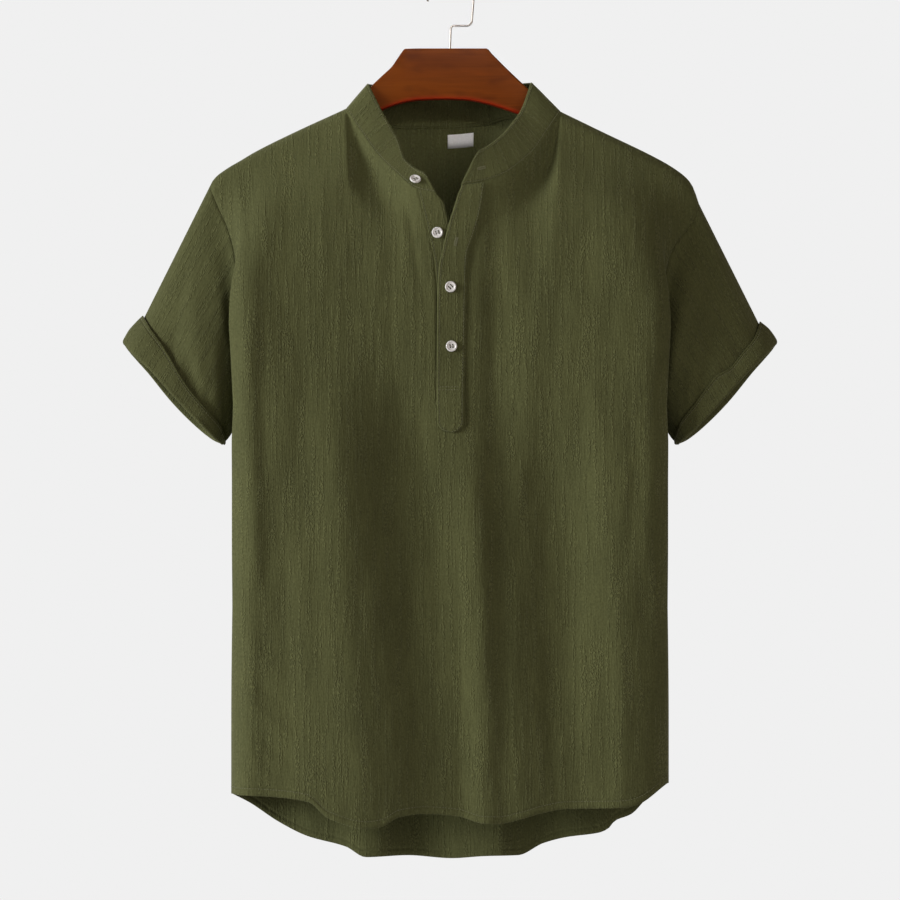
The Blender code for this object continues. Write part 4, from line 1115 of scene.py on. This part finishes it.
def make_front(cloth):
    """The front in one piece, whose middle is left out down to the end of the slit."""
    halves = [
        creased_panel(FRONT, FRONT_CREASES, FRONT_SEED, front_columns(side), FINE_LEVELS) for side in (-1, 1)
    ]
    joined = []
    for left, right in zip(*halves):
        start, over = left[:, -1], right[:, -1] - left[:, -1]
        middle = [start + over * i / FINE_SLIT_CELLS for i in range(1, FINE_SLIT_CELLS)]
        joined.append(np.concatenate([left, np.stack(middle, axis=1), right[:, ::-1]], axis=1))
    points, grain, to_hem = joined
    slit_start = len(front_columns(1)) - 1
    skip = {(row, slit_start + i) for row in range(len(FALL_FINE) - 1) for i in range(FINE_SLIT_CELLS)}
    sheet = Sheet("front_cloth", points, grain, to_hem / HEM_TURN, skip=skip)
    piece = show(sheet.build(cloth), "cloth", "front")
    return sheet


def back_neck_column(share):
    """The column that hangs from the back neck at a share of the way from the wearer's left."""
    return NECK_ACROSS * abs(1 - 2 * share), 1 if share < 0.5 else -1, share


def make_back(cloth):
    left = [(across, 1, 0.0) for across in FINE_ACROSS]
    neck = [back_neck_column(share) for share in np.linspace(0, 1, BACK_NECK_COLUMNS)]
    right = [(across, -1, 0.0) for across in FINE_ACROSS[::-1]]
    points, grain, to_hem = creased_panel(BACK, BACK_CREASES, BACK_SEED, left + neck + right, FINE_LEVELS)
    sheet = Sheet("back_cloth", points, grain, to_hem / HEM_TURN)
    piece = show(sheet.build(cloth), "cloth", "back")
    return sheet


def sleeve_ring(side):
    """The armhole's points and the sleeve end's, from the shoulder down the front and up the back."""
    front = panel_points(FRONT, (1.0, side, 0.0), FALL_FINE)
    back = panel_points(BACK, (1.0, side, 0.0), FALL_FINE)
    seam = np.concatenate([front, back[-2:0:-1]])
    gone = np.concatenate([[0], np.cumsum(np.linalg.norm(np.diff(front, axis=0), axis=1))])
    share = gone / gone[-1]
    share = np.concatenate([share, share[-2:0:-1]])
    facing = np.array([1.0] * len(front) + [-1.0] * (len(back) - 2))
    x, drop, depth = (read(SLEEVE_END, SLEEVE_END_COLUMNS, name, share) for name in ("x", "drop", "depth"))
    far = np.where(facing < 0, FAR_SIDE_SHIFT * np.sin(np.pi * share), 0) * 0.5**0.5
    end = true_place(side * (x + far), facing * depth, drop + far)
    return seam, end, share, facing


def sleeve_places(side, along, ring):
    """The sleeve's surface at the shares along in it, one for each point of the ring or one for all."""
    seam, end, share, facing = ring
    along = np.broadcast_to(along, share.shape)
    points = seam + (end - seam) * along[:, None]
    middle = np.sin(np.pi * np.clip(along, 0, 1))
    points[:, 1] -= SLEEVE_FULLNESS * middle**2 * np.sin(np.pi * share) * facing * MM
    out = UNDERARM_GAP * np.clip(1 - along, 0, 1) + UNDERARM_OUT * middle
    points[:, 0] += side * out * share**UNDERARM_NEAR * MM
    points[:, 2] -= UNDERARM_SAG * middle * share**UNDERARM_NEAR * MM
    return points


def sleeve_relief(side, share, facing, along):
    """The sleeve's creases at places round it and along it."""
    round_it, along_it = share * SLEEVE_SPAN[0], along * SLEEVE_SPAN[1]
    total = np.zeros(share.shape)
    for way in (1, -1):
        table = [
            (s0 * SLEEVE_SPAN[0], a0 * SLEEVE_SPAN[1], s1 * SLEEVE_SPAN[0], a1 * SLEEVE_SPAN[1], *rest)
            for s0, a0, s1, a1, *rest in SLEEVE_CREASES[(side, way)]
        ]
        total = total + np.where(facing == way, crease_depth(table, round_it, along_it), 0)
    for cell_round, cell_along, height, seed in SLEEVE_SWELLING:
        total = total + height * crumple(round_it * facing, along_it, cell_round, cell_along, seed + side)
    return total * ease(along / 0.08) * ease((1 - along) / 0.1) * np.sin(np.pi * share) ** 0.5


def make_sleeve(side, name, cloth):
    """The sleeve as a tube from the armhole to its open end. Returns its ring for the cuff."""
    ring = sleeve_ring(side)
    share, facing = ring[2:]
    steps = [np.full_like(share, along) for along in np.linspace(0, 1, SLEEVE_STEPS)]
    points = np.array([sleeve_places(side, along, ring) for along in steps])
    around = share * facing * SLEEVE_SPAN[0] * MM
    grain = np.array([np.stack([around, along * SLEEVE_SPAN[1] * MM], axis=-1) for along in steps])
    edge = np.full(points.shape[:2], NO_EDGE)
    sheet = Sheet(name + "_cloth", points, grain, edge, closed=True, flip=side > 0)
    sheet.moved_out(np.array([sleeve_relief(side, share, facing, along) for along in steps]))
    piece = show(sheet.build(cloth), "cloth", name)
    return ring


def make_cuff(side, name, ring, cloth):
    """The turned-up end: up outside the sleeve from a round fold at its end, and a little way inside."""
    seam, end, share, facing = ring
    reach = read(CUFF[side], CUFF_COLUMNS, "reach", share)
    stand = read(CUFF[side], CUFF_COLUMNS, "stand", share)
    last_rows = np.array([sleeve_places(side, along, ring) for along in (0.96, 1.0)])
    faces = grid_faces(2, len(share), closed=True)
    normals = corner_normals(last_rows.reshape(-1, 3), [face[::-1] for face in faces] if side > 0 else faces)
    normals = normals[len(share):]
    ahead = end - seam
    ahead = ahead / np.linalg.norm(ahead, axis=1)[:, None]
    round_it = share * facing * SLEEVE_SPAN[0]
    rows, travelled = [], []
    for t in np.linspace(0, 1, 16):
        gone = np.full_like(share, t * CUFF_OUTSIDE)
        out = SEAM_GAP + CUFF_WALL + stand * np.sin(t * np.pi / 2)
        swell = 0.5 * np.sin(np.pi * t) + 0.35 * crumple(round_it, gone, 15.0, 9.0, 40 + side)
        swell = swell * np.sin(np.pi * min(t + 0.15, 1))
        rows.append(sleeve_places(side, 1 - reach * (1 - t), ring) + normals * (out + swell)[:, None] * MM)
        travelled.append(gone)
    round_out = (out + SHELL + 2 * SEAM_GAP + SHELL) / 2
    middle = end + normals * (out - round_out)[:, None] * MM
    for turn in np.linspace(0, np.pi, 8)[1:]:
        out_by = (np.cos(turn) * round_out)[:, None]
        ahead_by = (np.sin(turn) * round_out * 0.8)[:, None]
        rows.append(middle + (normals * out_by + ahead * ahead_by) * MM)
        travelled.append(CUFF_OUTSIDE + turn * round_out)
    for t in np.linspace(0, 1, 8)[1:]:
        inside = sleeve_places(side, 1 - reach * 0.9 * t, ring)
        rows.append(inside - normals * (2 * SHELL + 2 * SEAM_GAP) * MM)
        travelled.append(np.full_like(share, CUFF_INSIDE_START + t * CUFF_INSIDE))
    travelled = np.array(travelled)
    grain = np.stack([np.broadcast_to(round_it, travelled.shape), travelled], axis=-1) * MM
    edge = travelled / CUFF_STITCH_INSET
    sheet = Sheet(name + "_cloth", np.array(rows), grain, edge, closed=True, flip=side > 0)
    piece = show(sheet.build(cloth), "cloth", name)
    return sheet


def band_point(neck, share, height):
    """A point of the band's outer surface, by the share along its table and of its height."""
    seam = [read(neck, NECK_COLUMNS, name, share) for name in ("x", "depth", "drop")]
    edge = [read(neck, NECK_COLUMNS, name, share) for name in ("top_x", "top_depth", "top_drop")]
    x, depth, drop = (low + (high - low) * height for low, high in zip(seam, edge))
    return true_place(x, depth, drop)


def make_band(cloth):
    """The stand collar, from the wearer's right end round the back to the left one."""
    ends = np.linspace(1.0, BAND_END_SHARE, 9)[1:]
    left = [(FRONT_NECK[-1], share) for share in np.concatenate([FINE_SHARES, ends])[::-1]]
    back = [(BACK_NECK, share) for share in np.linspace(0, 1, 70)[-2:0:-1]]
    right = [(FRONT_NECK[1], share) for share in np.concatenate([FINE_SHARES, ends])]
    shares_up = np.linspace(0, 1, BAND_CELLS)
    rows = []
    for height in shares_up:
        row = []
        for neck, share in left + back + right:
            past = np.clip((share - BAND_ROUNDED_FROM) / (BAND_END_SHARE - BAND_ROUNDED_FROM), 0, 1)
            lowered = BAND_ROUNDING * (1 - np.sqrt(1 - past**2 * 0.98))
            row.append(band_point(neck, share, height * (1 - lowered)))
        rows.append(row)
    points = np.array(rows)
    steps = np.linalg.norm(np.diff(points[0], axis=0), axis=1)
    gone = np.concatenate([[0], np.cumsum(steps)])
    heights = shares_up * BAND_HEIGHT * MM
    grain = np.stack(np.broadcast_arrays(gone[None, :], heights[:, None]), axis=-1)
    from_edge = np.minimum(heights, heights[-1] - heights)[:, None] / (STITCH_INSET * MM)
    sheet = Sheet("band_cloth", points, grain, np.broadcast_to(from_edge, points.shape[:2]), wall=BAND)
    ripple = 0.35 * crumple(grain[..., 0] / MM, grain[..., 1] / MM, 11.0, 13.0, 50)
    sheet.moved_out((ripple + 0.25) * np.sin(np.pi * shares_up)[:, None])
    piece = show(sheet.build(cloth), "cloth", "collar_band")
    return sheet


def make_under_placket(cloth):
    """The button placket, level with the panel and sewn to the slit's edge on the wearer's right."""
    x, depth, drop = panel_column(FRONT, 0.0, -1, 1.0, FALL_FINE)
    near_neck = 1 - ease((drop - drop[0]) / NECK_TAPER)
    columns = []
    cells = np.linspace(0, 1, UNDER_PLACKET_CELLS)
    for cell in cells:
        share = 1 + (BAND_END_SHARE - 1) * cell
        seam_x, seam_depth, seam_drop = (
            read(FRONT_NECK[-1], NECK_COLUMNS, name, share) for name in ("x", "depth", "drop")
        )
        width = UNDER_PLACKET_WIDTH * cell
        across = x + width + (seam_x - x[0] - width) * near_neck
        down = drop + (seam_drop - drop[0]) * near_neck
        columns.append(true_place(across, depth + (seam_depth - depth[0]) * near_neck, down))
    points = np.stack(columns, axis=1)
    grain = points[..., (0, 2)] * np.array((1, -1))
    from_edge = np.minimum(cells, 1 - cells) * UNDER_PLACKET_WIDTH / STITCH_INSET
    edge = np.broadcast_to(from_edge[None, :], points.shape[:2])
    sheet = Sheet("placket_under_cloth", points, grain, edge, wall=CLOTH)
    ripple = 0.25 * crumple(grain[..., 0] / MM, grain[..., 1] / MM, 9.0, 13.0, 60)
    sheet.moved_out(ripple * np.sin(np.pi * cells)[None, :])
    piece = show(sheet.build(cloth), "cloth", "placket_under")
    return sheet


def front_middle(side, x, drop):
    """The place on the front's surface at x and drop, close to its middle."""
    column_x, depth, column_drop = panel_column(FRONT, 0.0, side, 1.0, PLACKET_LEVELS)
    at = np.interp(drop, column_drop, depth)
    at_x = np.interp(drop, column_drop, column_x)
    change = fold_depth(FRONT_FOLDS, x, drop) - fold_depth(FRONT_FOLDS, at_x, drop)
    loose = ease((drop - column_drop[0] - FLAT_BELOW_SEAM) / FOLDS_GROW_OVER)
    return true_place(x, at + change * loose, drop)


def make_upper_placket(cloth):
    """The buttonhole placket, which lies over the slit and ends in a rounded tab."""
    drops = list(panel_column(FRONT, 0.0, 1, 1.0, FALL_FINE)[2])
    left = list(smooth_line(np.array(drops), *zip(*PLACKET_FREE_EDGE)))
    right = list(smooth_line(np.array(drops), *zip(*SLIT[1])) + PLACKET_LAP)
    middle, half = (TAB_LEFT + TAB_RIGHT) / 2, (TAB_RIGHT - TAB_LEFT) / 2
    for drop in np.linspace(drops[-1], TAB_SHOULDER_DROP, 8)[1:-1]:
        drops.append(drop)
        left.append(TAB_LEFT)
        right.append(TAB_RIGHT)
    for turn in np.linspace(0, TAB_LAST_TURN, 14):
        drops.append(TAB_SHOULDER_DROP + (TAB_DROP - TAB_SHOULDER_DROP) * np.sin(turn))
        left.append(middle - half * np.cos(turn))
        right.append(middle + half * np.cos(turn))
    drops, left, right = np.array(drops), np.array(left), np.array(right)
    near_neck = 1 - ease((drops - drops[0]) / NECK_TAPER)
    seam_x, seam_drop = (
        read(FRONT_NECK[1], NECK_COLUMNS, name, np.array((BAND_END_SHARE, 1.0))) for name in ("x", "drop")
    )
    cells = np.linspace(0, 1, PLACKET_CELLS)
    columns = []
    for cell in cells:
        x = left + (right - left) * cell
        lower = np.interp(x[0], seam_x, seam_drop) + PLACKET_BELOW_BAND - drops[0]
        columns.append(front_middle(1, x, drops + lower * near_neck))
    points = np.stack(columns, axis=1)
    grain = points[..., (0, 2)] * np.array((1, -1))
    from_edge = np.minimum(cells, 1 - cells)[None, :] * (right - left)[:, None] / STITCH_INSET
    sheet = Sheet("placket_upper_cloth", points, grain, from_edge, wall=PLACKET)
    ripple = 0.3 * crumple(grain[..., 0] / MM, grain[..., 1] / MM, 8.0, 15.0, 70)
    bulge = np.sin(np.pi * cells)[None, :]
    swell = (ripple + 0.25) * bulge
    free = (1 - near_neck) * (1 - ease((drops - TAB_SEAM_DROP + 40) / 40))
    tab = ease((drops - TAB_SEAM_DROP) / 12)
    lean = (PLACKET_LEAN * free + TAB_LEAN * tab)[:, None] * (0.5 - cells)[None, :]
    pucker = TAB_PUCKER * np.exp(-(((drops - TAB_SEAM_DROP) / 2.5) ** 2))[:, None] * bulge
    sheet.moved_out(SEAM_GAP + PLACKET + swell + lean - pucker)
    piece = show(sheet.build(cloth), "cloth", "placket_upper")
    return sheet


def make_label(material):
    """The bare label inside the back neck, a little uneven."""
    shares = np.linspace(*LABEL_SHARES, 16)
    levels = np.linspace(*LABEL_LEVELS, 12)
    points = np.stack([panel_points(BACK, back_neck_column(share), levels) for share in shares], axis=1)
    grain = points[..., (0, 2)] * np.array((1, -1))
    sheet = Sheet("label_tape", points, grain, np.full(points.shape[:2], NO_EDGE), wall=-LABEL_WALL)
    swell = 0.25 * crumple(grain[..., 0] / MM, grain[..., 1] / MM, 9.0, 7.0, 80)
    sheet.moved_out(-SEAM_GAP - SHELL - LABEL_OFF_BACK - swell)
    piece = show(sheet.build(material), "label", "size_label")


def lathe(section, sides):
    """Points and faces of a turned form about Z."""
    points = [(0.0, 0.0, section[0][1])]
    for radius, height in section[1:-1]:
        for turn in np.arange(sides) * 2 * np.pi / sides:
            points.append((radius * np.cos(turn), radius * np.sin(turn), height))
    points.append((0.0, 0.0, section[-1][1]))
    faces = [tuple(1 + i for i in face[::-1]) for face in grid_faces(len(section) - 2, sides, closed=True)]
    last = len(points) - 1
    for i in range(sides):
        after = (i + 1) % sides
        faces.append((0, 1 + after, 1 + i))
        faces.append((last, last - sides + i, last - sides + after))
    return np.array(points), faces


def tube(points, radius, sides=8):
    """Points and faces of a closed tube round a path."""
    points = np.asarray(points, float)
    tangents = np.gradient(points, axis=0)
    tangents = tangents / np.linalg.norm(tangents, axis=1)[:, None]
    aside = np.cross(tangents[0], (0.31, 0.52, 0.79))
    rings = []
    for point, along in zip(points, tangents):
        aside = aside - along * (aside @ along)
        aside = aside / np.linalg.norm(aside)
        up = np.cross(along, aside)
        for turn in np.arange(sides) * 2 * np.pi / sides:
            rings.append(point + (aside * np.cos(turn) + up * np.sin(turn)) * radius)
    faces = grid_faces(len(points), sides, closed=True)
    faces = [face[::-1] for face in faces]
    faces.append(tuple(range(sides))[::-1])
    faces.append(tuple(range(len(rings) - sides, len(rings))))
    return np.array(rings), faces


def make_button(name, centre, normal, turn, materials):
    """A turned button with four drilled holes, and the thread through them."""
    normal = normal / np.linalg.norm(normal)
    right = np.cross(np.array((0.0, 0.0, 1.0)), normal)
    right = right / np.linalg.norm(right)
    up = np.cross(normal, right)
    right, up = right * np.cos(turn) + up * np.sin(turn), up * np.cos(turn) - right * np.sin(turn)
    basis = np.array([right, up, normal])
    start = centre + normal * SEAM_GAP * MM
    points, faces = lathe(BUTTON_SECTION, BUTTON_FINE_SIDES)
    button = add_mesh(name + "_turned", start + points @ basis * MM, faces, materials["button"])
    drills = []
    for sx in (-1, 1):
        for sy in (-1, 1):
            path = [(sx * HOLE_PLACE, sy * HOLE_PLACE, z) for z in (-1.0, 0.0, 1.0, 2.0, 3.0)]
            drills.append(tube(path, HOLE_RADIUS, 16))
    points, faces = as_one(drills)
    drill = add_mesh(name + "_drill", start + points @ basis * MM, faces, materials["button"])
    cut = button.modifiers.new("holes", "BOOLEAN")
    cut.operation = "DIFFERENCE"
    cut.solver = "EXACT"
    cut.object = drill
    drilled = bpy.data.meshes.new_from_object(button.evaluated_get(bpy.context.evaluated_depsgraph_get()))
    button.modifiers.clear()
    button.data = drilled
    drilled.polygons.foreach_set("use_smooth", [True] * len(drilled.polygons))
    drilled.set_sharp_from_angle(angle=np.radians(40))
    bpy.data.objects.remove(drill, do_unlink=True)
    show(button, "button", name)
    threads = []
    top = BUTTON_SECTION[-1][1]
    for sx in (-1, 1):
        for lane in THREAD_LANES:
            path = [(sx * HOLE_PLACE + lane, HOLE_PLACE * y, top + rise) for y, rise in THREAD_PATH]
            threads.append(tube(path, THREAD_RADIUS, 6))
    points, faces = as_one(threads)
    show(add_mesh(name + "_thread", start + points @ basis * MM, faces, materials["thread"]), "cloth")


def normal_at(surface, x, drop):
    """The outward normal of a surface that is given as a place for each x and drop."""
    along = surface(x + 1, drop) - surface(x - 1, drop)
    down = surface(x, drop + 1) - surface(x, drop - 1)
    return np.cross(down, along)


def leaned(centre, normal):
    """The top button's place and facing: it lies on its rim and leans towards the neck."""
    normal = normal / np.linalg.norm(normal)
    towards = BUTTON_1_LEANS_TO - normal * (BUTTON_1_LEANS_TO @ normal)
    towards = towards / np.linalg.norm(towards)
    raised = BUTTON_SECTION[1][0] * np.sin(BUTTON_1_LEAN)
    return centre + normal * raised * MM, normal * np.cos(BUTTON_1_LEAN) + towards * np.sin(BUTTON_1_LEAN)


def make_buttons(materials):
    """The top button on the band, one on the under placket and two on the upper placket."""
    neck, share, height = FRONT_NECK[-1], BUTTON_1_SHARE, BUTTON_1_HEIGHT
    along = band_point(neck, share + 0.04, height) - band_point(neck, share - 0.04, height)
    up = band_point(neck, share, height + 0.1) - band_point(neck, share, height - 0.1)
    centre, normal = leaned(band_point(neck, share, height), np.cross(along, up))
    make_button("button_1", centre, normal, 0.5, materials)

    def left(x, drop):
        return front_middle(-1, x, drop)

    def right(x, drop):
        return front_middle(1, x, drop)

    make_button("button_2", left(*BUTTON_2), normal_at(left, *BUTTON_2), 0.25, materials)
    for number, (place, turn) in enumerate(zip(BUTTONS_ON_PLACKET, (0.75, 0.1)), 3):
        normal = normal_at(right, *place)
        outside = normal / np.linalg.norm(normal) * (SEAM_GAP + PLACKET) * MM
        make_button(f"button_{number}", right(*place) + outside, normal, turn, materials)


def nearest(sheet, place):
    """Row and column of the sheet's point that is nearest to a place given as x, depth and drop."""
    away = np.linalg.norm(sheet.as_grid(sheet.points) - true_place(*place), axis=2)
    return np.unravel_index(np.argmin(away), away.shape)


def buttonhole(sheet, place, towards):
    """Lines for close stitches on both sides of a slit in a sheet, and for a bar at each end."""
    row, column = nearest(sheet, place)
    points, normals = sheet.as_grid(sheet.points), sheet.as_grid(sheet.normals)
    centre, normal = points[row, column], normals[row, column]
    along = points[row + towards[0], column + towards[1]] - centre
    along = along / np.linalg.norm(along)
    aside = np.cross(normal, along)
    half = BUTTONHOLE_LENGTH / 2
    bars = [(at, side * 0.85, 0.75) for side in (-1, 1) for at in np.arange(-half, half, BUTTONHOLE_SPACING)]
    bars += [(at, 0.0, 1.5) for at in (-half - 0.5, -half - 0.1, half + 0.3, half + 0.7)]
    lines = []
    for at, shift, reach in bars:
        middle = centre + (along * at + aside * shift) * MM
        ends = np.array([middle - aside * reach * MM, middle + aside * reach * MM])
        lines.append((ends, np.array([normal, normal])))
    return lines


def make_hanger(wood):
    """The flat board with softly rounded edges, lofted from one tip to the other."""
    places = [row[0] for row in HANGER]
    xs = np.unique(np.concatenate([np.linspace(places[0], places[-1], 230), places]))
    steps = np.linspace(0, np.pi / 2, 7)
    sections, edges = [], []
    tops, bottoms, roundings = (read(HANGER, HANGER_COLUMNS, name, xs) for name in HANGER_COLUMNS[1:])
    for x, top, bottom, rounding in zip(xs, tops, bottoms, roundings):
        section = []
        for across, down in ((1, 1), (1, -1), (-1, -1), (-1, 1)):
            corner = (HANGER_HALF - rounding) * across
            level = bottom - rounding if down > 0 else top + rounding
            for turn in steps if across * down < 0 else steps[::-1]:
                drop = level + down * rounding * np.sin(turn)
                section.append((x * MM, -(corner + across * rounding * np.cos(turn)) * MM, -drop * MM))
                # Distance to the board's lower edge, which places the wood's painted highlight.
                edges.append(bottom - drop)
        sections.append(section)
    count = len(sections[0])
    points = np.array([point for section in sections for point in section])
    faces = grid_faces(len(sections), count, closed=True)
    faces.append(tuple(range(count)))
    faces.append(tuple(len(points) - 1 - i for i in range(count)))
    board = add_mesh("hanger_board", points, faces, wood, points[:, (0, 2)], np.array(edges))
    board.data.set_sharp_from_angle(angle=np.radians(50))
    show(board, "wood", "hanger")


def bend(path, corner, before, after, radius, steps):
    """Adds a rounded corner to a path in the plane of the hook."""
    corner, before, after = (np.array(place, float) for place in (corner, before, after))
    come = (before - corner) / np.linalg.norm(before - corner)
    leave = (after - corner) / np.linalg.norm(after - corner)
    half_angle = np.arccos(come @ leave) / 2
    reach = radius / np.tan(half_angle)
    middle = corner + (come + leave) / np.linalg.norm(come + leave) * radius / np.sin(half_angle)
    start, end = corner + come * reach - middle, corner + leave * reach - middle
    for t in np.linspace(0, 1, steps + 1):
        out = start * (1 - t) + end * t
        path.append(tuple(middle + out / np.linalg.norm(out) * radius))


def make_hook(wire):
    """The wire: up from the board, aside in a step, and round in the open hook over the rail."""
    foot = (0.0, HOOK_SHANK_FOOT)
    step = (HOOK_STEP_X, HOOK_STEP_DROP)
    rise = (HOOK_RISE_X, HOOK_STEP_DROP)
    arc_start = (HOOK_RADIUS, HOOK_ARC_DROP)
    path = [foot]
    bend(path, step, foot, rise, HOOK_LOWER_BEND, 10)
    bend(path, rise, step, arc_start, HOOK_UPPER_BEND, 10)
    for turn in np.radians(np.linspace(0, HOOK_TIP_TURN, 90)):
        path.append((HOOK_RADIUS * np.cos(turn), HOOK_ARC_DROP - HOOK_RADIUS * np.sin(turn)))
    dense = [path[0]]
    for start, end in zip(path, path[1:]):
        along = (end[0] - start[0], end[1] - start[1])
        cells = max(1, int(np.hypot(*along) / 1.5))
        for i in range(1, cells + 1):
            dense.append((start[0] + along[0] * i / cells, start[1] + along[1] * i / cells))
    points = np.array([(x, 0.0, -drop) for x, drop in dense]) * MM
    ring, faces = tube(points, HOOK_WIRE * MM, 14)
    hook = add_mesh("hook_wire", ring, faces, wire)
    hook.data.set_sharp_from_angle(angle=np.radians(50))
    show(hook, "wire", "hook")


def stage(name, corners, colour, roughness):
    """A plain plane that isn't part of the object."""
    graph = Graph(name)
    material = graph.finish(Base_Color=(*colour, 1.0), Roughness=roughness)
    mesh = bpy.data.meshes.new(name)
    mesh.from_pydata(corners, [], [tuple(range(len(corners)))])
    mesh.materials.append(material)
    thing = bpy.data.objects.new(name, mesh)
    bpy.context.scene.collection.objects.link(thing)


def add_light(name, place, aim, size, power, colour, spread):
    light = bpy.data.lights.new(name, "AREA")
    light.shape = "SQUARE"
    light.size = size
    light.energy = power
    light.color = colour
    light.spread = np.radians(spread)
    thing = bpy.data.objects.new(name, light)
    thing.location = place
    direction = np.array(aim, float) - np.array(place, float)
    thing.rotation_euler = mathutils.Vector(direction).to_track_quat("-Z", "Y").to_euler()
    bpy.context.scene.collection.objects.link(thing)


def set_up_view():
    """The camera at the photograph's distance and height, a pale room and floor, and the lights."""
    camera = bpy.data.cameras.new("camera")
    camera.lens = PHOTO_LENS
    camera.sensor_width = SENSOR
    eye = bpy.data.objects.new("camera", camera)
    eye.location = (0.0, -EYE_DISTANCE * MM, -EYE_DROP * MM)
    eye.rotation_euler = (np.pi / 2, 0.0, 0.0)
    bpy.context.scene.collection.objects.link(eye)
    bpy.context.scene.camera = eye
    bpy.context.scene.view_settings.view_transform = "Standard"
    world = bpy.data.worlds.new("studio")
    bpy.context.scene.world = world
    world.use_nodes = True
    nodes, links = world.node_tree.nodes, world.node_tree.links
    seen = nodes.new("ShaderNodeLightPath").outputs["Is Camera Ray"]
    mix = nodes.new("ShaderNodeMix")
    mix.data_type = "RGBA"
    links.new(seen, mix.inputs[0])
    mix.inputs[6].default_value = (*WORLD_LIGHT, 1.0)
    mix.inputs[7].default_value = (*WORLD_SEEN, 1.0)
    links.new(mix.outputs[2], nodes["Background"].inputs["Color"])
    corners = [(x * FLOOR_REACH, y * FLOOR_REACH, FLOOR) for x, y in ((-1, -1), (1, -1), (1, 1), (-1, 1))]
    stage("floor", corners, (0.8, 0.8, 0.8), 0.6)
    for light in LIGHTS:
        add_light(*light)


def make_stitches(front, back, cuffs, band, under, upper):
    """The sewing threads of the hems and seams, and the buttonholes."""
    thread = thread_material("sewing_thread", THREAD_DARK, THREAD_LIGHT)
    for name, panel in (("front", front), ("back", back)):
        last = panel.rows - 1
        stitches(name + "_hem_stitches", [panel.line(last, last - 12, HEM_TURN)], thread, "cloth")
    edges = [band.line(band.rows - 1, 0, STITCH_INSET), band.line(0, band.rows - 1, STITCH_INSET)]
    stitches("band_stitches", edges, thread, "cloth")
    stitches("cuff_stitches", [cuff.line(0, 12, CUFF_STITCH_INSET) for cuff in cuffs], thread, "cloth")
    last = PLACKET_CELLS - 1
    sides = [upper.line(start, last - start, STITCH_INSET, by_column=True) for start in (0, last)]
    stitches("placket_stitches", sides, thread, "cloth")
    row = nearest(upper, TAB_SEAM)[0]
    points, normals = upper.as_grid(upper.points), upper.as_grid(upper.normals)
    stitches("tab_stitches", [(points[r, 1:-1], normals[r, 1:-1]) for r in (row, row + 1)], thread, "cloth")
    inner = [under.line(0, UNDER_PLACKET_CELLS - 1, STITCH_INSET, by_column=True)]
    stitches("under_placket_stitches", inner, thread, "cloth")
    holes = buttonhole(band, BAND_HOLE, (0, 1)) + buttonhole(upper, PLACKET_HOLE, (1, 0))
    stitches("buttonholes", holes, thread, "cloth", pitch=1.45, length=1.5)


def make_all():
    cloth = cloth_material("crinkled_cloth", OLIVE_DARK, OLIVE_LIGHT, 1.0)
    button_materials = {
        "button": button_material(),
        "thread": thread_material("olive_thread", BUTTON_THREAD_DARK, BUTTON_THREAD_LIGHT),
    }
    front = make_front(cloth)
    back = make_back(cloth)
    cuffs = []
    for side, which in ((-1, "right"), (1, "left")):
        ring = make_sleeve(side, "sleeve_" + which, cloth)
        cuffs.append(make_cuff(side, "cuff_" + which, ring, cloth))
    band = make_band(cloth)
    under = make_under_placket(cloth)
    upper = make_upper_placket(cloth)
    make_label(label_material())
    make_buttons(button_materials)
    make_hanger(wood_material())
    make_hook(wire_material())
    make_stitches(front, back, cuffs, band, under, upper)


def main():
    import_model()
    set_up_view()
    make_all()


main()
